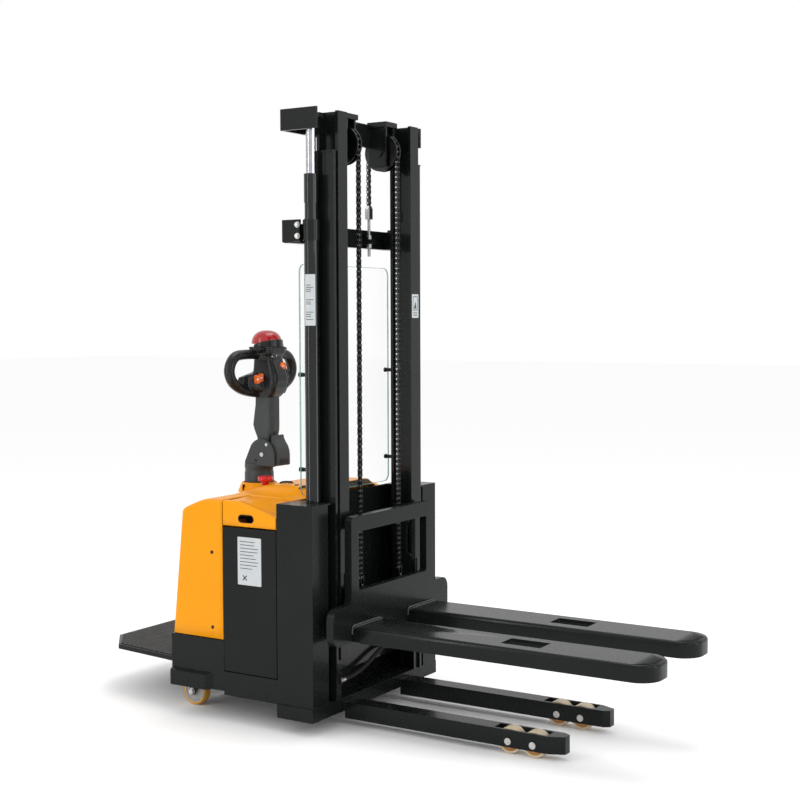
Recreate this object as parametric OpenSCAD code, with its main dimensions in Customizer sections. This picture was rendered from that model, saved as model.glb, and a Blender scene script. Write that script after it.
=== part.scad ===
// Rider-type walkie stacker: straddle legs, duplex mast, fork carriage, powered drive unit and tiller.
// All places are first drawn from the forks' heel face (x = 0 there, forks along +X, +Z up, floor at z = 0)
// and then moved by datum_x, so that the origin lies on the floor under the middle of the truck.

/* [Forks] */
// Length of a fork from the carriage plate to its tip
fork_len = 1150; // [900:10:1400]
// Width of one fork
fork_w = 190; // [160:2:200]
// Width over both forks
fork_span = 572; // [520:2:620]
// Depth of the fork channel
fork_t = 58; // [50:1:70]
// Sheet thickness of the fork channel
fork_wall = 8; // [6:1:10]
// Corner radius of the fork tip
tip_r = 78; // [40:2:78]
// Height of the fork top above the floor, as drawn
fork_top = 385; // [370:1:600]
// Length of the heel where the fork's side flanges are cut away
heel_cut = 34; // [20:1:60]

/* [Carriage] */
// Thickness of the carriage plate
carriage_t = 30; // [20:1:36]
// Half width of the upper carriage frame
frame_half = 285; // [270:1:300]
// Half width of the lower carriage plate
plate_half = 402; // [350:1:420]
// Height of the lower plate, above and below the fork top together
plate_h = 137; // [120:1:160]
// Height of the whole carriage plate
carriage_h = 455; // [420:5:520]
// Width of the frame around the carriage window
frame_bar = 48; // [36:1:60]
// Height of the sill under the window, above the fork top
sill_h = 123; // [100:1:140]

/* [Mast] */
// Height of the lowered mast
mast_h = 2087; // [1900:1:2400]
// How far the inner mast is raised in the drawn position
raise = 143; // [120:1:160]
// Half width over the inner uprights
inner_half = 275; // [265:1:285]
// Width of an upright's flange
flange_w = 58; // [50:1:62]
// Depth of an inner upright
mast_depth = 94; // [86:1:110]
// Thickness of an upright's flange
flange_t = 12; // [10:1:14]
// Thickness of the inner upright's web
web_t = 8; // [6:1:12]
// Thickness of the outer upright's web
outer_web = 13; // [10:1:16]
// Gap between the inner uprights and the outer webs
nest_gap = 8; // [6:1:10]
// Distance from the carriage plate's face to the front of the mast
mast_back = 55; // [50:1:70]

/* [Lifting gear] */
// Outer radius of a lift cylinder
barrel_r = 27; // [24:1:32]
// Radius of a piston rod
rod_r = 18; // [14:1:19]
// Pitch radius of a chain on its sheave
chain_r = 65; // [55:1:75]
// Distance of each chain from the middle
chain_y = 133; // [120:1:150]
// Width of the lift chain
chain_w = 16; // [10:1:20]
// Thickness of the lift chain
chain_t = 10; // [8:1:14]

/* [Straddle legs] */
// Distance from the middle to a leg's inner face
leg_in = 156; // [150:1:170]
// Width of a leg
leg_w = 72; // [60:1:76]
// Height of the top of a leg
leg_top = 86; // [80:1:90]
// Height of the underside of a leg
leg_low = 26; // [20:1:32]
// Distance of the leg tips ahead of the carriage plate
leg_reach = 808; // [700:2:900]
// Radius of a load roller
load_r = 46; // [40:1:47]
// Width of a load roller
load_w = 50; // [40:1:52]
// Distance of the rear load roller's axle ahead of the carriage plate
load_x1 = 602; // [520:2:640]
// Distance between the two load roller axles
load_pitch = 94; // [94:1:110]

/* [Chassis] */
// Width of the chassis
body_w = 854; // [820:2:900]
// Distance of the rear face of the chassis behind the carriage plate
body_rear = 730; // [700:2:800]
// Height of the covers at their upper edge
hood_h = 828; // [780:2:860]
// Height of the bulkhead behind the mast
bulk_h = 831; // [800:1:880]
// Thickness of the cover sheet
sheet = 4; // [3:0.5:6]
// Gap between neighbouring covers
seam = 4; // [2:0.5:6]
// Distance of the split between rear cover and doors behind the carriage plate
split_x = 477; // [450:1:520]
// Distance of the bulkhead behind the carriage plate
bulk_x = 221; // [215:1:240]
// Height of the battery doors' lower edge
door_low = 194; // [180:1:240]
// Height of the battery doors' upper edge
door_high = 731; // [700:1:760]

/* [Drive and steering] */
// Distance of the steering axis behind the carriage plate
steer_x = 636; // [620:1:640]
// Radius of the drive wheel
drive_r = 95; // [85:1:100]
// Width of the drive wheel
drive_w = 70; // [60:1:80]
// Radius of the caster wheels
caster_r = 56; // [50:1:58]
// Width of the caster wheels
caster_w = 40; // [30:1:45]
// Distance of each caster's swivel axis from the middle
caster_y = 290; // [260:1:310]
// Trail of the casters
caster_trail = 35; // [25:1:40]

/* [Tiller] */
// Distance of the tiller's pivot behind the carriage plate
pivot_x = 588; // [580:1:600]
// Height of the tiller's pivot
pivot_z = 960; // [940:1:980]
// Length of the tiller from its pivot to the underside of the head
arm_len = 230; // [200:1:260]
// Half width over the tiller head's handles
head_half = 222; // [180:1:230]
// Thickness of the handle loops
grip_t = 40; // [34:1:44]

/* [Platform] */
// Length of the fold-down platform
deck_len = 462; // [400:2:520]
// Height of the platform's top
deck_top = 196; // [190:1:210]
// Thickness of the platform plate
deck_t = 18; // [14:1:22]

/* [Fits] */
// Radial clearance of a running fit
run_fit = 0.05; // [0.02:0.01:0.09]
// Gap between pieces that move past each other
slide_gap = 0.3; // [0.3:0.05:1]

/* [Hidden] */

// Overall frame
hinge_x = -body_rear - 20;
deck_rear = hinge_x - 2 - deck_len;
datum_x = -(fork_len + deck_rear) / 2;
eps = 1;
LEFT = 1;
RIGHT = -1;

// Forks and carriage
fork_y = (fork_span - fork_w) / 2;
fork_under = fork_top - fork_t;
plate_low = fork_top - 60;
plate_high = plate_low + plate_h;
carriage_top = plate_low + carriage_h;
window_low = fork_top + sill_h;
window_half = frame_half - frame_bar;
window_high = carriage_top - 56;
corner_r = 40;
small_r = 20;
leg_clear = 6;

// Mast
mast_front = -mast_back;
mast_rear = mast_front - mast_depth;
web_out = inner_half - 23;
track_x = mast_front - mast_depth / 2;
outer_in = inner_half + nest_gap;
outer_half = outer_in + outer_web;
foot_top = 104;
foot_low = 54;
inner_low = foot_top + 6 + raise;
inner_high = mast_h + raise + 4;
outer_front = mast_front - 5;
outer_rear = mast_rear - 1;
outer_flange_gap = 2;
track_r = mast_depth / 2 - flange_t - slide_gap;
small_track_r = mast_depth / 2 - 2 * flange_t - outer_flange_gap - slide_gap;
top_roller_z = mast_h - 42;
outer_flange_top = top_roller_z - track_r - 6;
low_roller_z = inner_low + 45;
stub_r = 12;
small_stub_r = 8;

// Carriage rollers and side plates
cheek_in = inner_half - flange_w - 14;
cheek_t = 10;
car_roller_low = fork_top + 45;
car_roller_high = carriage_top - 80;
anchor_z = plate_high + 6;

// Lifting gear
cyl_x = mast_rear + 13;
cyl_y = outer_half + barrel_r + 5;
head_top = mast_h + raise + 12;
head_h = 76;
arm_y = cyl_y + rod_r + 1;
arm_t = 10;
beam_x = -249;
sheave_x = mast_front - 8 - chain_r;
sheave_z = head_top - 114;
sheave_w = 30;
sheave_gap = 6;
groove_r = chain_r - chain_t / 2 - slide_gap;
sheave_r = chain_r + 7;
pin_r = 15;
chain_low = anchor_z + 62;
rear_chain_x = sheave_x - chain_r;
barrel_low = foot_top + 6;
clamp_low = mast_h - 315;
clamp_high = mast_h - 241;
neck_top = mast_h - 180;
gland_top = mast_h - 78;
piston_z = barrel_low + 390;
piston_h = 40;
bore_r = barrel_r - 5;
bar_low = mast_h - 321;
bar_high = mast_h - 251;
bar_x = -245;
bar_t = 30;
rod_anchor_z = bar_low + 153;

// Legs and load rollers
leg_out = leg_in + leg_w;
cheek = 10;
bogie_start = load_x1 - load_r - 12;
bogie_end = load_x1 + load_pitch + load_r + 6;
axle_r = 10;
load_y = (leg_in + leg_out) / 2;
leg_root = -72;

// Chassis
half_w = body_w / 2;
tub_rear = -body_rear;
front_x = -72;
floor_z = 140;
floor_t = 6;
skirt_low = 102;
skirt_high = 305;
split = -split_x;
bulk = -bulk_x;
console_half = 268;
bulk_t = 8;

// Steering, casters, platform
steer = -steer_x;
drive_z = drive_r;
caster_x = -body_rear + 40;
bumper_t = 20;
collar_gap = 3;
fork_plate_z = floor_z - 12;
base_r = 58;
base_low = hood_h + 4;
base_high = pivot_z - 45;
pivot = -pivot_x;
head_low = pivot_z + arm_len - 6;
head_high = head_low + 205;
head_x = pivot - 4;
loop_x = head_x - 28;
key_x = loop_x + 36;
throttle_x = head_x + 14;
throttle_z = head_high - 12;
hinge_z = deck_top - deck_t / 2;
deck_half = 370;
estop_x = -521;
estop_y = -110;
estop_z = 844;

// Hose route, points on the centre line behind the mast foot
hose_path = [
    [-118, -188, 150], [-118, -150, 150], [-119, -100, 152], [-121, -50, 160], [-123, 0, 174],
    [-125, 45, 190], [-127, 85, 204], [-129, 120, 212], [-130, 160, 214]
];
hose_r = 9;

module place() translate([datum_x, 0, 0]) children();

// Mirrors a piece drawn on the left to the right
module on_side(s) scale([1, 1, 1]) mirror([0, s < 0 ? 1 : 0, 0]) children();

module both_sides() {
    on_side(LEFT) children();
    on_side(RIGHT) children();
}

// Box between two corners given per axis
module slab(x, y, z) {
    translate([x[0], y[0], z[0]]) cube([x[1] - x[0], y[1] - y[0], z[1] - z[0]]);
}

// Cylinder along Y at x, z
module rod_y(r, y, x, z) {
    translate([x, y[1], z]) rotate([90, 0, 0]) cylinder(r = r, h = y[1] - y[0]);
}

// Cylinder along X at y, z
module rod_x(r, x, y, z) {
    translate([x[0], y, z]) rotate([0, 90, 0]) cylinder(r = r, h = x[1] - x[0]);
}

// Cylinder along Z at x, y
module rod_z(r, z, x, y) {
    translate([x, y, z[0]]) cylinder(r = r, h = z[1] - z[0]);
}

// Extrudes a (y, z) outline from x0 over t
module plate_yz(x0, t) translate([x0, 0, 0]) rotate([90, 0, 90]) linear_extrude(t) children();

// Extrudes an (x, z) outline from y0 over t
module plate_xz(y0, t) translate([0, y0 + t, 0]) rotate([90, 0, 0]) linear_extrude(t) children();

// Rectangle with round corners
module round_rect(a, b, r) {
    difference() {
        translate([a[0], b[0]]) square([a[1] - a[0], b[1] - b[0]]);
        for (i = [0, 1], j = [0, 1])
            translate([a[i], b[j]]) difference() {
                square(2 * r, center = true);
                translate([i == 0 ? r : -r, j == 0 ? r : -r]) circle(r);
            }
    }
}

// Ring drawn round the Y axis through x, z
module ring_y(ri, ro, y, x, z) {
    difference() {
        rod_y(ro, y, x, z);
        rod_y(ri, [y[0] - eps, y[1] + eps], x, z);
    }
}

// ---------- forks and carriage ----------

module fork_plan(inset) {
    w = fork_w / 2 - inset;
    len = fork_len - inset;
    r = tip_r - inset;
    translate([0, -w]) square([len - r, 2 * w]);
    translate([len - r - eps, -w + r]) square([r + eps, 2 * (w - r)]);
    for (s = [-1, 1]) translate([len - r, s * (w - r)]) circle(r);
}

module fork(s) {
    on_side(s) translate([0, fork_y, 0]) difference() {
        translate([0, 0, fork_under]) linear_extrude(fork_t) fork_plan(0);
        translate([-eps, 0, fork_under - eps]) linear_extrude(fork_t - fork_wall + eps) fork_plan(fork_wall);
        slab([-eps, heel_cut], [-fork_w, fork_w], [fork_under - eps, fork_top - fork_wall - 4]);
        slab([load_x1 - 26, load_x1 + load_pitch + 30], [-leg_w / 2 - leg_clear, leg_w / 2 + leg_clear],
             [fork_top - fork_wall - eps, fork_top + eps]);
    }
}

module carriage_outline() {
    difference() {
        union() {
            round_rect([-plate_half, plate_half], [plate_low, plate_high], corner_r);
            round_rect([-frame_half, frame_half], [plate_low + small_r, carriage_top], small_r);
            for (s = [-1, 1]) difference() {
                translate([s * (frame_half + small_r / 2 - eps / 2), plate_high + small_r / 2 - eps / 2])
                    square(small_r + eps, center = true);
                translate([s * (frame_half + small_r), plate_high + small_r]) circle(small_r);
            }
        }
        round_rect([-window_half, window_half], [window_low, window_high], 10);
        for (s = [-1, 1]) translate([s * load_y, plate_low]) square(
            [leg_w + 2 * leg_clear, 2 * (fork_t - fork_wall)], center = true);
    }
}

// Side plate that carries the rollers, with its curved front edge
module cheek_outline() {
    x0 = mast_rear + 18;
    x1 = -carriage_t;
    x2 = mast_front - 16;
    z0 = plate_low + 70;
    curve = [for (a = [0 : 15 : 90]) [x2 + (x1 - x2) * sin(a), window_low + 70 - (x1 - x2) * 1.8 * (1 - cos(a))]];
    polygon(concat([[x0, z0], [x1, z0]], [for (i = [len(curve) - 1 : -1 : 0]) curve[i]],
        [[x2, carriage_top - 46], [x1, carriage_top - 46], [x1, carriage_top - 12], [x0, carriage_top - 12]]));
}

module carriage_frame() {
    color("#2b2f30") {
        difference() {
            union() {
                plate_yz(-carriage_t, carriage_t) carriage_outline();
                both_sides() {
                    plate_xz(cheek_in, cheek_t) cheek_outline();
                    rod_y(stub_r, [cheek_in, web_out - web_t - 2], track_x, car_roller_low);
                    rod_y(stub_r, [cheek_in, web_out - web_t - 2], track_x, car_roller_high);
                }
                slab([sheave_x + chain_r - 32, -carriage_t], [-cheek_in - 1, cheek_in + 1], [anchor_z, anchor_z + 16]);
                slab([-48, -carriage_t], [-cheek_in - 1, cheek_in + 1], [carriage_top - 38, carriage_top - 14]);
            }
            both_sides() rod_z(7, [anchor_z - eps, anchor_z + 16 + eps], sheave_x + chain_r, chain_y);
        }
    }
}

// Guide roller pair on one axis line
module guide_rollers(r, bore, y0, y1, z) {
    color("#8d8f90") both_sides() ring_y(bore + run_fit, r, [y0, y1], track_x, z);
}

module carriage_rollers_upper() {
    guide_rollers(track_r, stub_r, cheek_in + cheek_t + 4, web_out - web_t - 3, car_roller_high);
}

module carriage_rollers_lower() {
    guide_rollers(track_r, stub_r, cheek_in + cheek_t + 4, web_out - web_t - 3, car_roller_low);
}

module outer_guide_rollers() {
    guide_rollers(track_r, stub_r, web_out + 4, outer_in - 5, top_roller_z);
}

module inner_guide_rollers() {
    guide_rollers(small_track_r, small_stub_r, web_out + 4, outer_in - 4, low_roller_z);
}

// ---------- mast ----------

module inner_upright(s) {
    color("#1e2122") on_side(s) {
        slab([mast_rear + flange_t - eps, mast_front - flange_t + eps], [web_out - web_t, web_out], [inner_low, inner_high]);
        slab([mast_front - flange_t, mast_front], [inner_half - flange_w, inner_half], [inner_low, inner_high]);
        slab([mast_rear, mast_rear + flange_t], [inner_half - flange_w, inner_half], [inner_low, inner_high]);
        rod_y(small_stub_r, [web_out - eps, outer_in - 3], track_x, low_roller_z);
    }
}

module outer_upright(s) {
    x1 = mast_front - flange_t - outer_flange_gap;
    x2 = mast_rear + flange_t + outer_flange_gap;
    color("#1b1e1f") on_side(s) {
        slab([outer_rear, outer_front], [outer_in, outer_half], [foot_top, mast_h]);
        slab([x1 - flange_t, x1], [web_out + 2, outer_in + eps], [foot_top, outer_flange_top]);
        slab([x2, x2 + flange_t], [web_out + 2, outer_in + eps], [foot_top, outer_flange_top]);
        slab([outer_rear, outer_front], [outer_in, outer_half + 4], [mast_h, mast_h + 6]);
        rod_y(stub_r, [web_out + 3, outer_in + eps], track_x, top_roller_z);
    }
}

module outer_crossbars() {
    color("#17191a") {
        difference() {
            union() {
                slab([bar_x, bar_x + bar_t], [-arm_y, arm_y], [bar_low, bar_high]);
                both_sides() {
                    slab([bar_x, cyl_x - barrel_r - 5], [arm_y, arm_y + arm_t], [bar_low + 2, bar_high + 12]);
                    slab([bar_x + bar_t - eps, outer_rear], [outer_in, outer_half], [bar_low, bar_high]);
                    slab([bar_x + bar_t - eps, rear_chain_x + 17], [chain_y - 15, chain_y + 15],
                         [bar_low + 16, bar_low + 34]);
                }
            }
            both_sides() rod_z(7, [bar_low, bar_high], rear_chain_x, chain_y);
        }
        slab([outer_rear - 13, outer_rear], [-outer_half, outer_half], [foot_top + 68, fork_top + 35]);
    }
}

// U-shaped head over both cylinders, roof over each sheave and the beam between the uprights
module inner_crossmembers() {
    z0 = head_top - head_h;
    roof_t = 20;
    side_in = chain_y - sheave_w / 2 - sheave_gap - 10;
    side_out = chain_y + sheave_w / 2 + sheave_gap;
    x0 = sheave_x - 42;
    x1 = sheave_x + 34;
    color("#1e2122") {
        slab([beam_x, beam_x + arm_t], [-arm_y - arm_t, arm_y + arm_t], [z0, head_top]);
        slab([x0 - 12, x0 + eps], [-side_in - 10, side_in + 10], [head_top - 96, head_top - 8]);
        both_sides() {
            slab([beam_x, cyl_x + 44], [arm_y, arm_y + arm_t], [z0, head_top]);
            slab([beam_x + arm_t - eps, cyl_x + 40], [outer_half + 8, arm_y + eps], [head_top - 36, head_top - 26]);
            slab([beam_x + arm_t - eps, mast_rear], [inner_half - flange_w, inner_half - flange_w + 12],
                 [z0, head_top - 10]);
            slab([mast_rear - 12, mast_rear], [side_out + 10 - eps, inner_half], [head_top - 96, head_top - 8]);
            for (y = [side_in, side_out])
                slab([x0, x1], [y, y + 10], [sheave_z - 54, head_top - roof_t + eps]);
            slab([x0 - 4, x1 + 6], [side_in - 7, min(side_out + 20, inner_half - flange_w)], [head_top - roof_t, head_top - 1]);
            rod_y(pin_r, [side_in - 4, side_out + 14], sheave_x, sheave_z);
            rod_y(pin_r + 4, [side_in - 7, side_in + eps], sheave_x, sheave_z);
        }
        slab([mast_rear, mast_rear + flange_t], [flange_w - inner_half, inner_half - flange_w],
             [inner_low + 8, inner_low + 58]);
    }
}

module piston_rods() {
    color("#d9dcdf") both_sides() {
        rod_z(rod_r, [piston_z, head_top - 36], cyl_x, cyl_y);
        rod_z(bore_r - slide_gap, [piston_z, piston_z + piston_h], cyl_x, cyl_y);
    }
}

module cylinder_barrels() {
    color("#141617") both_sides() difference() {
        union() {
            rod_z(barrel_r, [barrel_low, clamp_high + 4], cyl_x, cyl_y);
            rod_z(barrel_r - 3, [clamp_high, neck_top + eps], cyl_x, cyl_y);
            rod_z(barrel_r - 1, [neck_top, gland_top], cyl_x, cyl_y);
        }
        rod_z(bore_r, [barrel_low + 20, clamp_high + 6], cyl_x, cyl_y);
        rod_z(rod_r + run_fit, [clamp_high, gland_top + eps], cyl_x, cyl_y);
    }
}

module cylinder_clamps() {
    color("#1b1e1f") both_sides() {
        difference() {
            rod_z(barrel_r + 4, [clamp_low, clamp_high], cyl_x, cyl_y);
            rod_z(barrel_r + run_fit, [clamp_low - eps, clamp_high + eps], cyl_x, cyl_y);
        }
        for (z = [clamp_low + 17, clamp_low + 57])
            translate([cyl_x - barrel_r - 14, arm_y + arm_t + 6, z]) rotate([90, 0, 0]) cylinder(r = 7, h = 6);
    }
}

module chain_anchors() {
    color("#b9bcbf") both_sides() {
        rod_z(6, [bar_low - 32, rod_anchor_z - 42 + eps], rear_chain_x, chain_y);
        translate([rear_chain_x, chain_y, bar_low + 34]) cylinder(r = 11, h = 15, $fn = 6);
        translate([rear_chain_x, chain_y, bar_low + 1]) cylinder(r = 11, h = 15, $fn = 6);
        slab([rear_chain_x - 10, rear_chain_x + 10], [chain_y - 12, chain_y + 12],
             [rod_anchor_z - 42, rod_anchor_z]);
    }
}

module chains_rear() {
    color("#3a3c3d") both_sides()
        slab([rear_chain_x - chain_t / 2, rear_chain_x + chain_t / 2], [chain_y - chain_w / 2, chain_y + chain_w / 2],
             [rod_anchor_z, sheave_z]);
}

module chains_front() {
    x = sheave_x + chain_r;
    y = [chain_y - chain_w / 2, chain_y + chain_w / 2];
    color("#3a3c3d") both_sides() {
        slab([x - chain_t / 2, x + chain_t / 2], y, [chain_low, sheave_z + eps]);
        intersection() {
            ring_y(chain_r - chain_t / 2, chain_r + chain_t / 2, y, sheave_x, sheave_z);
            slab([sheave_x - 2 * chain_r, sheave_x + 2 * chain_r], y, [sheave_z, sheave_z + 2 * chain_r]);
        }
    }
}

module chain_sheaves() {
    y0 = chain_y - sheave_w / 2;
    y1 = chain_y + sheave_w / 2;
    color("#4a4d4e") both_sides() difference() {
        rod_y(sheave_r, [y0, y1], sheave_x, sheave_z);
        ring_y(groove_r, sheave_r + eps, [chain_y - chain_w / 2 - 1, chain_y + chain_w / 2 + 1], sheave_x, sheave_z);
        rod_y(pin_r + run_fit, [y0 - eps, y1 + eps], sheave_x, sheave_z);
    }
}

module screen() {
    color([0.75, 0.9, 0.85, 0.3])
        plate_yz(bar_x + 29, 6) round_rect([-298, 298], [bulk_h + 14, bar_low - 73], 30);
}

// ---------- legs, rollers and casters ----------

module leg_plan(inset) {
    tip = leg_reach - inset;
    out = leg_out - inset;
    in = leg_in + inset;
    polygon([[leg_root, in], [leg_root, out], [leg_reach - 56, out], [tip, out - 24], [tip, in + 14],
        [tip - 22, in]]);
}

module leg(s) {
    color("#202425") on_side(s) difference() {
        translate([0, 0, leg_low]) linear_extrude(leg_top - leg_low) leg_plan(0);
        slab([bogie_start, bogie_end], [leg_in + cheek, leg_out - cheek], [leg_low - eps, leg_top + eps]);
        slab([leg_root - eps, bogie_start - 12], [leg_in + cheek, leg_out - cheek], [leg_low - eps, leg_top - 8]);
        for (x = [load_x1, load_x1 + load_pitch])
            rod_y(axle_r, [leg_in - eps, leg_out + eps], x, load_r);
    }
}

module roller_axles() {
    color("#b9bcbf") both_sides() for (x = [load_x1, load_x1 + load_pitch]) {
        rod_y(axle_r, [leg_in, leg_out], x, load_r);
        for (y = [leg_in - 3, leg_out]) rod_y(6, [y, y + 3], x, load_r);
    }
}

module load_roller(s, x) {
    color("#d8cdb4") on_side(s)
        ring_y(axle_r + run_fit, load_r, [load_y - load_w / 2, load_y + load_w / 2], x, load_r);
}

module caster_fork(s) {
    color("#2a2d2e") on_side(s) difference() {
        union() {
            rod_z(32, [fork_plate_z, floor_z - slide_gap], caster_x, caster_y);
            rod_z(16, [floor_z - 1, floor_z + floor_t - 1], caster_x, caster_y);
            for (y = [caster_y - caster_w / 2 - 10, caster_y + caster_w / 2 + 3])
                hull() {
                    slab([caster_x - 20, caster_x + 20], [y, y + 7], [fork_plate_z - 2, fork_plate_z + 2]);
                    rod_y(16, [y, y + 7], caster_x - caster_trail, caster_r);
                }
        }
        slab([caster_x - 200, caster_x + 100], [caster_y - caster_w / 2 - 3, caster_y + caster_w / 2 + 3],
             [0, fork_plate_z]);
    }
    color("#9a9da0") on_side(s)
        rod_y(8, [caster_y - caster_w / 2 - 14, caster_y + caster_w / 2 + 14], caster_x - caster_trail, caster_r);
}

module caster_wheel(s) {
    color("#e0a63c") on_side(s)
        ring_y(8 + run_fit, caster_r, [caster_y - caster_w / 2, caster_y + caster_w / 2],
               caster_x - caster_trail, caster_r);
}

// ---------- chassis ----------

module base_frame() {
    color("#1d2021") difference() {
        union() {
            // foot under the mast
            slab([bulk - bulk_t, front_x], [-half_w - 4, half_w + 4], [foot_top - 12, foot_top]);
            slab([front_x - 12, front_x], [-half_w - 4, half_w + 4], [foot_low, foot_top - 12 + eps]);
            both_sides() slab([bulk - bulk_t, front_x], [half_w - 8, half_w + 4], [foot_low, foot_top]);
            slab([bulk - bulk_t, bulk - bulk_t + 12], [-half_w - 4, half_w + 4], [foot_low, foot_top]);
            // tub
            slab([tub_rear, bulk - bulk_t], [-half_w + 2, half_w - 2], [floor_z, floor_z + floor_t]);
            slab([bulk - bulk_t - 6, bulk - bulk_t], [-half_w + 2, half_w - 2], [foot_low, floor_z + eps]);
            both_sides() {
                slab([tub_rear, split], [half_w - 6, half_w], [skirt_low + 14, skirt_high]);
                slab([split - eps, bulk - bulk_t], [half_w - 6, half_w], [skirt_low, door_low - seam]);
                slab([tub_rear + 6, -540], [124, 130], [floor_z + floor_t - eps, 231]);
            }
            slab([tub_rear, tub_rear + 6], [-half_w, half_w], [fork_plate_z + 4, skirt_high]);
            // bumper blocks beside the casters
            both_sides() hull() {
                slab([tub_rear + 8, tub_rear + 176], [half_w + bumper_t - 1, half_w + bumper_t], [skirt_low + 12, skirt_low + 68]);
                slab([tub_rear + 2, tub_rear + 196], [half_w - 6, half_w + 1], [skirt_low + 14, skirt_low + 76]);
            }
            // plate that carries the drive unit
            slab([tub_rear + 6, -540], [-130, 130], [230, 240]);
        }
        rod_z(112, [floor_z - eps, floor_z + floor_t + eps], steer, 0);
        rod_z(72, [229, 241], steer, 0);
        slab([tub_rear - eps, tub_rear + 7], [-116, 116], [skirt_low, 178]);
        both_sides() rod_z(16 + slide_gap, [floor_z - eps, floor_z + floor_t + eps], caster_x, caster_y);
    }
}

module mast_housing() {
    color("#1a1d1e") difference() {
        union() {
            slab([bulk - bulk_t, bulk], [-half_w, half_w], [foot_top, bulk_h]);
            both_sides() {
                slab([bulk - eps, front_x], [half_w - 6, half_w], [foot_top, bulk_h]);
                slab([front_x - 6, front_x], [cyl_y + 1, half_w], [foot_top, bulk_h]);
                slab([bulk - eps, front_x], [outer_half + 4, half_w], [bulk_h - 6, bulk_h]);
            }
        }
        both_sides() rod_z(barrel_r + 3, [bulk_h - 8, bulk_h + eps], cyl_x, cyl_y);
    }
}

// Side outline of the rear cover, drawn inwards by t
module cover_side(t) {
    polygon([
        [split - seam / 2 + (t > 0 ? eps : 0), skirt_high + seam - (t > 0 ? eps : 0)],
        [tub_rear + t, skirt_high + seam - (t > 0 ? eps : 0)],
        [tub_rear + 48 + t, hood_h - 38 - t],
        [tub_rear + 62 + t, hood_h - 24 - t],
        [tub_rear + 155, hood_h - 6 - t],
        [split - seam / 2 + (t > 0 ? eps : 0), hood_h - t]
    ]);
}

module rear_cover_body(t) {
    intersection() {
        plate_xz(-half_w + t, body_w - 2 * t) cover_side(t);
        translate([0, 0, skirt_high]) linear_extrude(hood_h - skirt_high) difference() {
            translate([tub_rear - 1, -half_w - 1]) square([body_rear, body_w + 2]);
            for (s = [-1, 1]) translate([tub_rear + t, s * (half_w - t)]) difference() {
                square(90, center = true);
                translate([45, -s * 45]) circle(45);
            }
        }
    }
}

module rear_cover() {
    color("#fda811") difference() {
        union() {
            difference() {
                rear_cover_body(0);
                rear_cover_body(sheet);
            }
            translate([steer, 0, hood_h - 12]) cylinder(r1 = base_r + 24, r2 = base_r + collar_gap + 5, h = 42, $fn = 72);
        }
        rod_z(30, [hood_h - 60, hood_h + 40], steer, 0);
        rod_z(base_r + collar_gap, [base_low - 1, hood_h + 40], steer, 0);
        rod_z(14 + slide_gap, [hood_h - 40, hood_h + 20], estop_x, estop_y);
    }
}

// Sloping lid beside the console, with the hand slot in its side
module side_cover(s) {
    x0 = split + seam / 2;
    x1 = bulk - bulk_t - seam;
    z0 = door_high + 6;
    y0 = console_half + seam;
    color("#fda811") on_side(s) difference() {
        plate_xz(y0, half_w - y0)
            polygon([[x0, z0], [x1, z0], [x1, hood_h - 48], [x0 + 68, hood_h - 2], [x0, hood_h]]);
        plate_xz(y0 + sheet, half_w - y0 - 2 * sheet)
            polygon([[x0 + sheet, z0 - 1], [x1 - sheet, z0 - 1], [x1 - sheet, hood_h - 48 - sheet],
                [x0 + 68, hood_h - 2 - sheet], [x0 + sheet, hood_h - sheet]]);
        plate_xz(half_w - 10, 20) round_rect([x0 + 72, x0 + 142], [z0 + 16, z0 + 42], 12);
    }
}

module door(s) {
    color("#17191a") on_side(s)
        slab([split + seam / 2, bulk - bulk_t - seam], [half_w - 6, half_w], [door_low, door_high]);
}

// Raised centre of the hood between the tiller and the mast
module console_body(t) {
    x1 = bulk - bulk_t - seam;
    intersection() {
        plate_yz(split - 80 + t, x1 - split + 80 - 2 * t) polygon([
            [-console_half + t, door_high + 20 - (t > 0 ? eps : 0)], [-console_half + t, 800],
            [-console_half + 28, 832 - t], [-200, 836 - t], [-180, 868 - t], [180, 868 - t], [200, 836 - t],
            [console_half - 28, 832 - t], [console_half - t, 800],
            [console_half - t, door_high + 20 - (t > 0 ? eps : 0)]]);
        plate_xz(-console_half - 1, 2 * console_half + 2) polygon([
            [split - 81, hood_h + 1 - (t > 0 ? 10 : 0)], [split + seam / 2 + t, hood_h + 1 - (t > 0 ? 10 : 0)],
            [split + seam / 2 + t, door_high + 19], [x1 - t, door_high + 19],
            [x1 - t, 868 - t], [split - 60, 840 - t], [split - 81, 832 - t]]);
    }
}

module console() {
    color("#fda811") difference() {
        console_body(0);
        console_body(sheet);
        rod_z(14 + slide_gap, [estop_z - 40, estop_z + 60], estop_x, estop_y);
    }
}

module battery() {
    color("#44484a") slab([split + 12, bulk - bulk_t - 8], [-362, 362], [floor_z + floor_t, 640]);
}

module hydraulic_unit() {
    color("#55595b") {
        slab([tub_rear + 30, split - 20], [170, 370], [floor_z + floor_t, 420]);
        rod_z(55, [420 - eps, 600], tub_rear + 130, 270);
    }
}

module controller() {
    color("#3c4042") {
        slab([tub_rear + 60, split - 30], [-370, -190], [floor_z + floor_t, 330]);
        for (i = [0 : 6])
            slab([tub_rear + 60, split - 30], [-365 + 25 * i, -355 + 25 * i], [330 - eps, 350]);
    }
}

module trim_fasteners() {
    color("#303334") both_sides() {
        for (z = [skirt_high + 45, 631]) rod_y(5, [half_w, half_w + 3], -529, z);
        for (z = [943, 1290]) {
            rod_x(7, [bar_x + 35, outer_rear], outer_half - 8, z);
            rod_x(9, [bar_x + 22, bar_x + 29], outer_half - 8, z);
        }
    }
}

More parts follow.
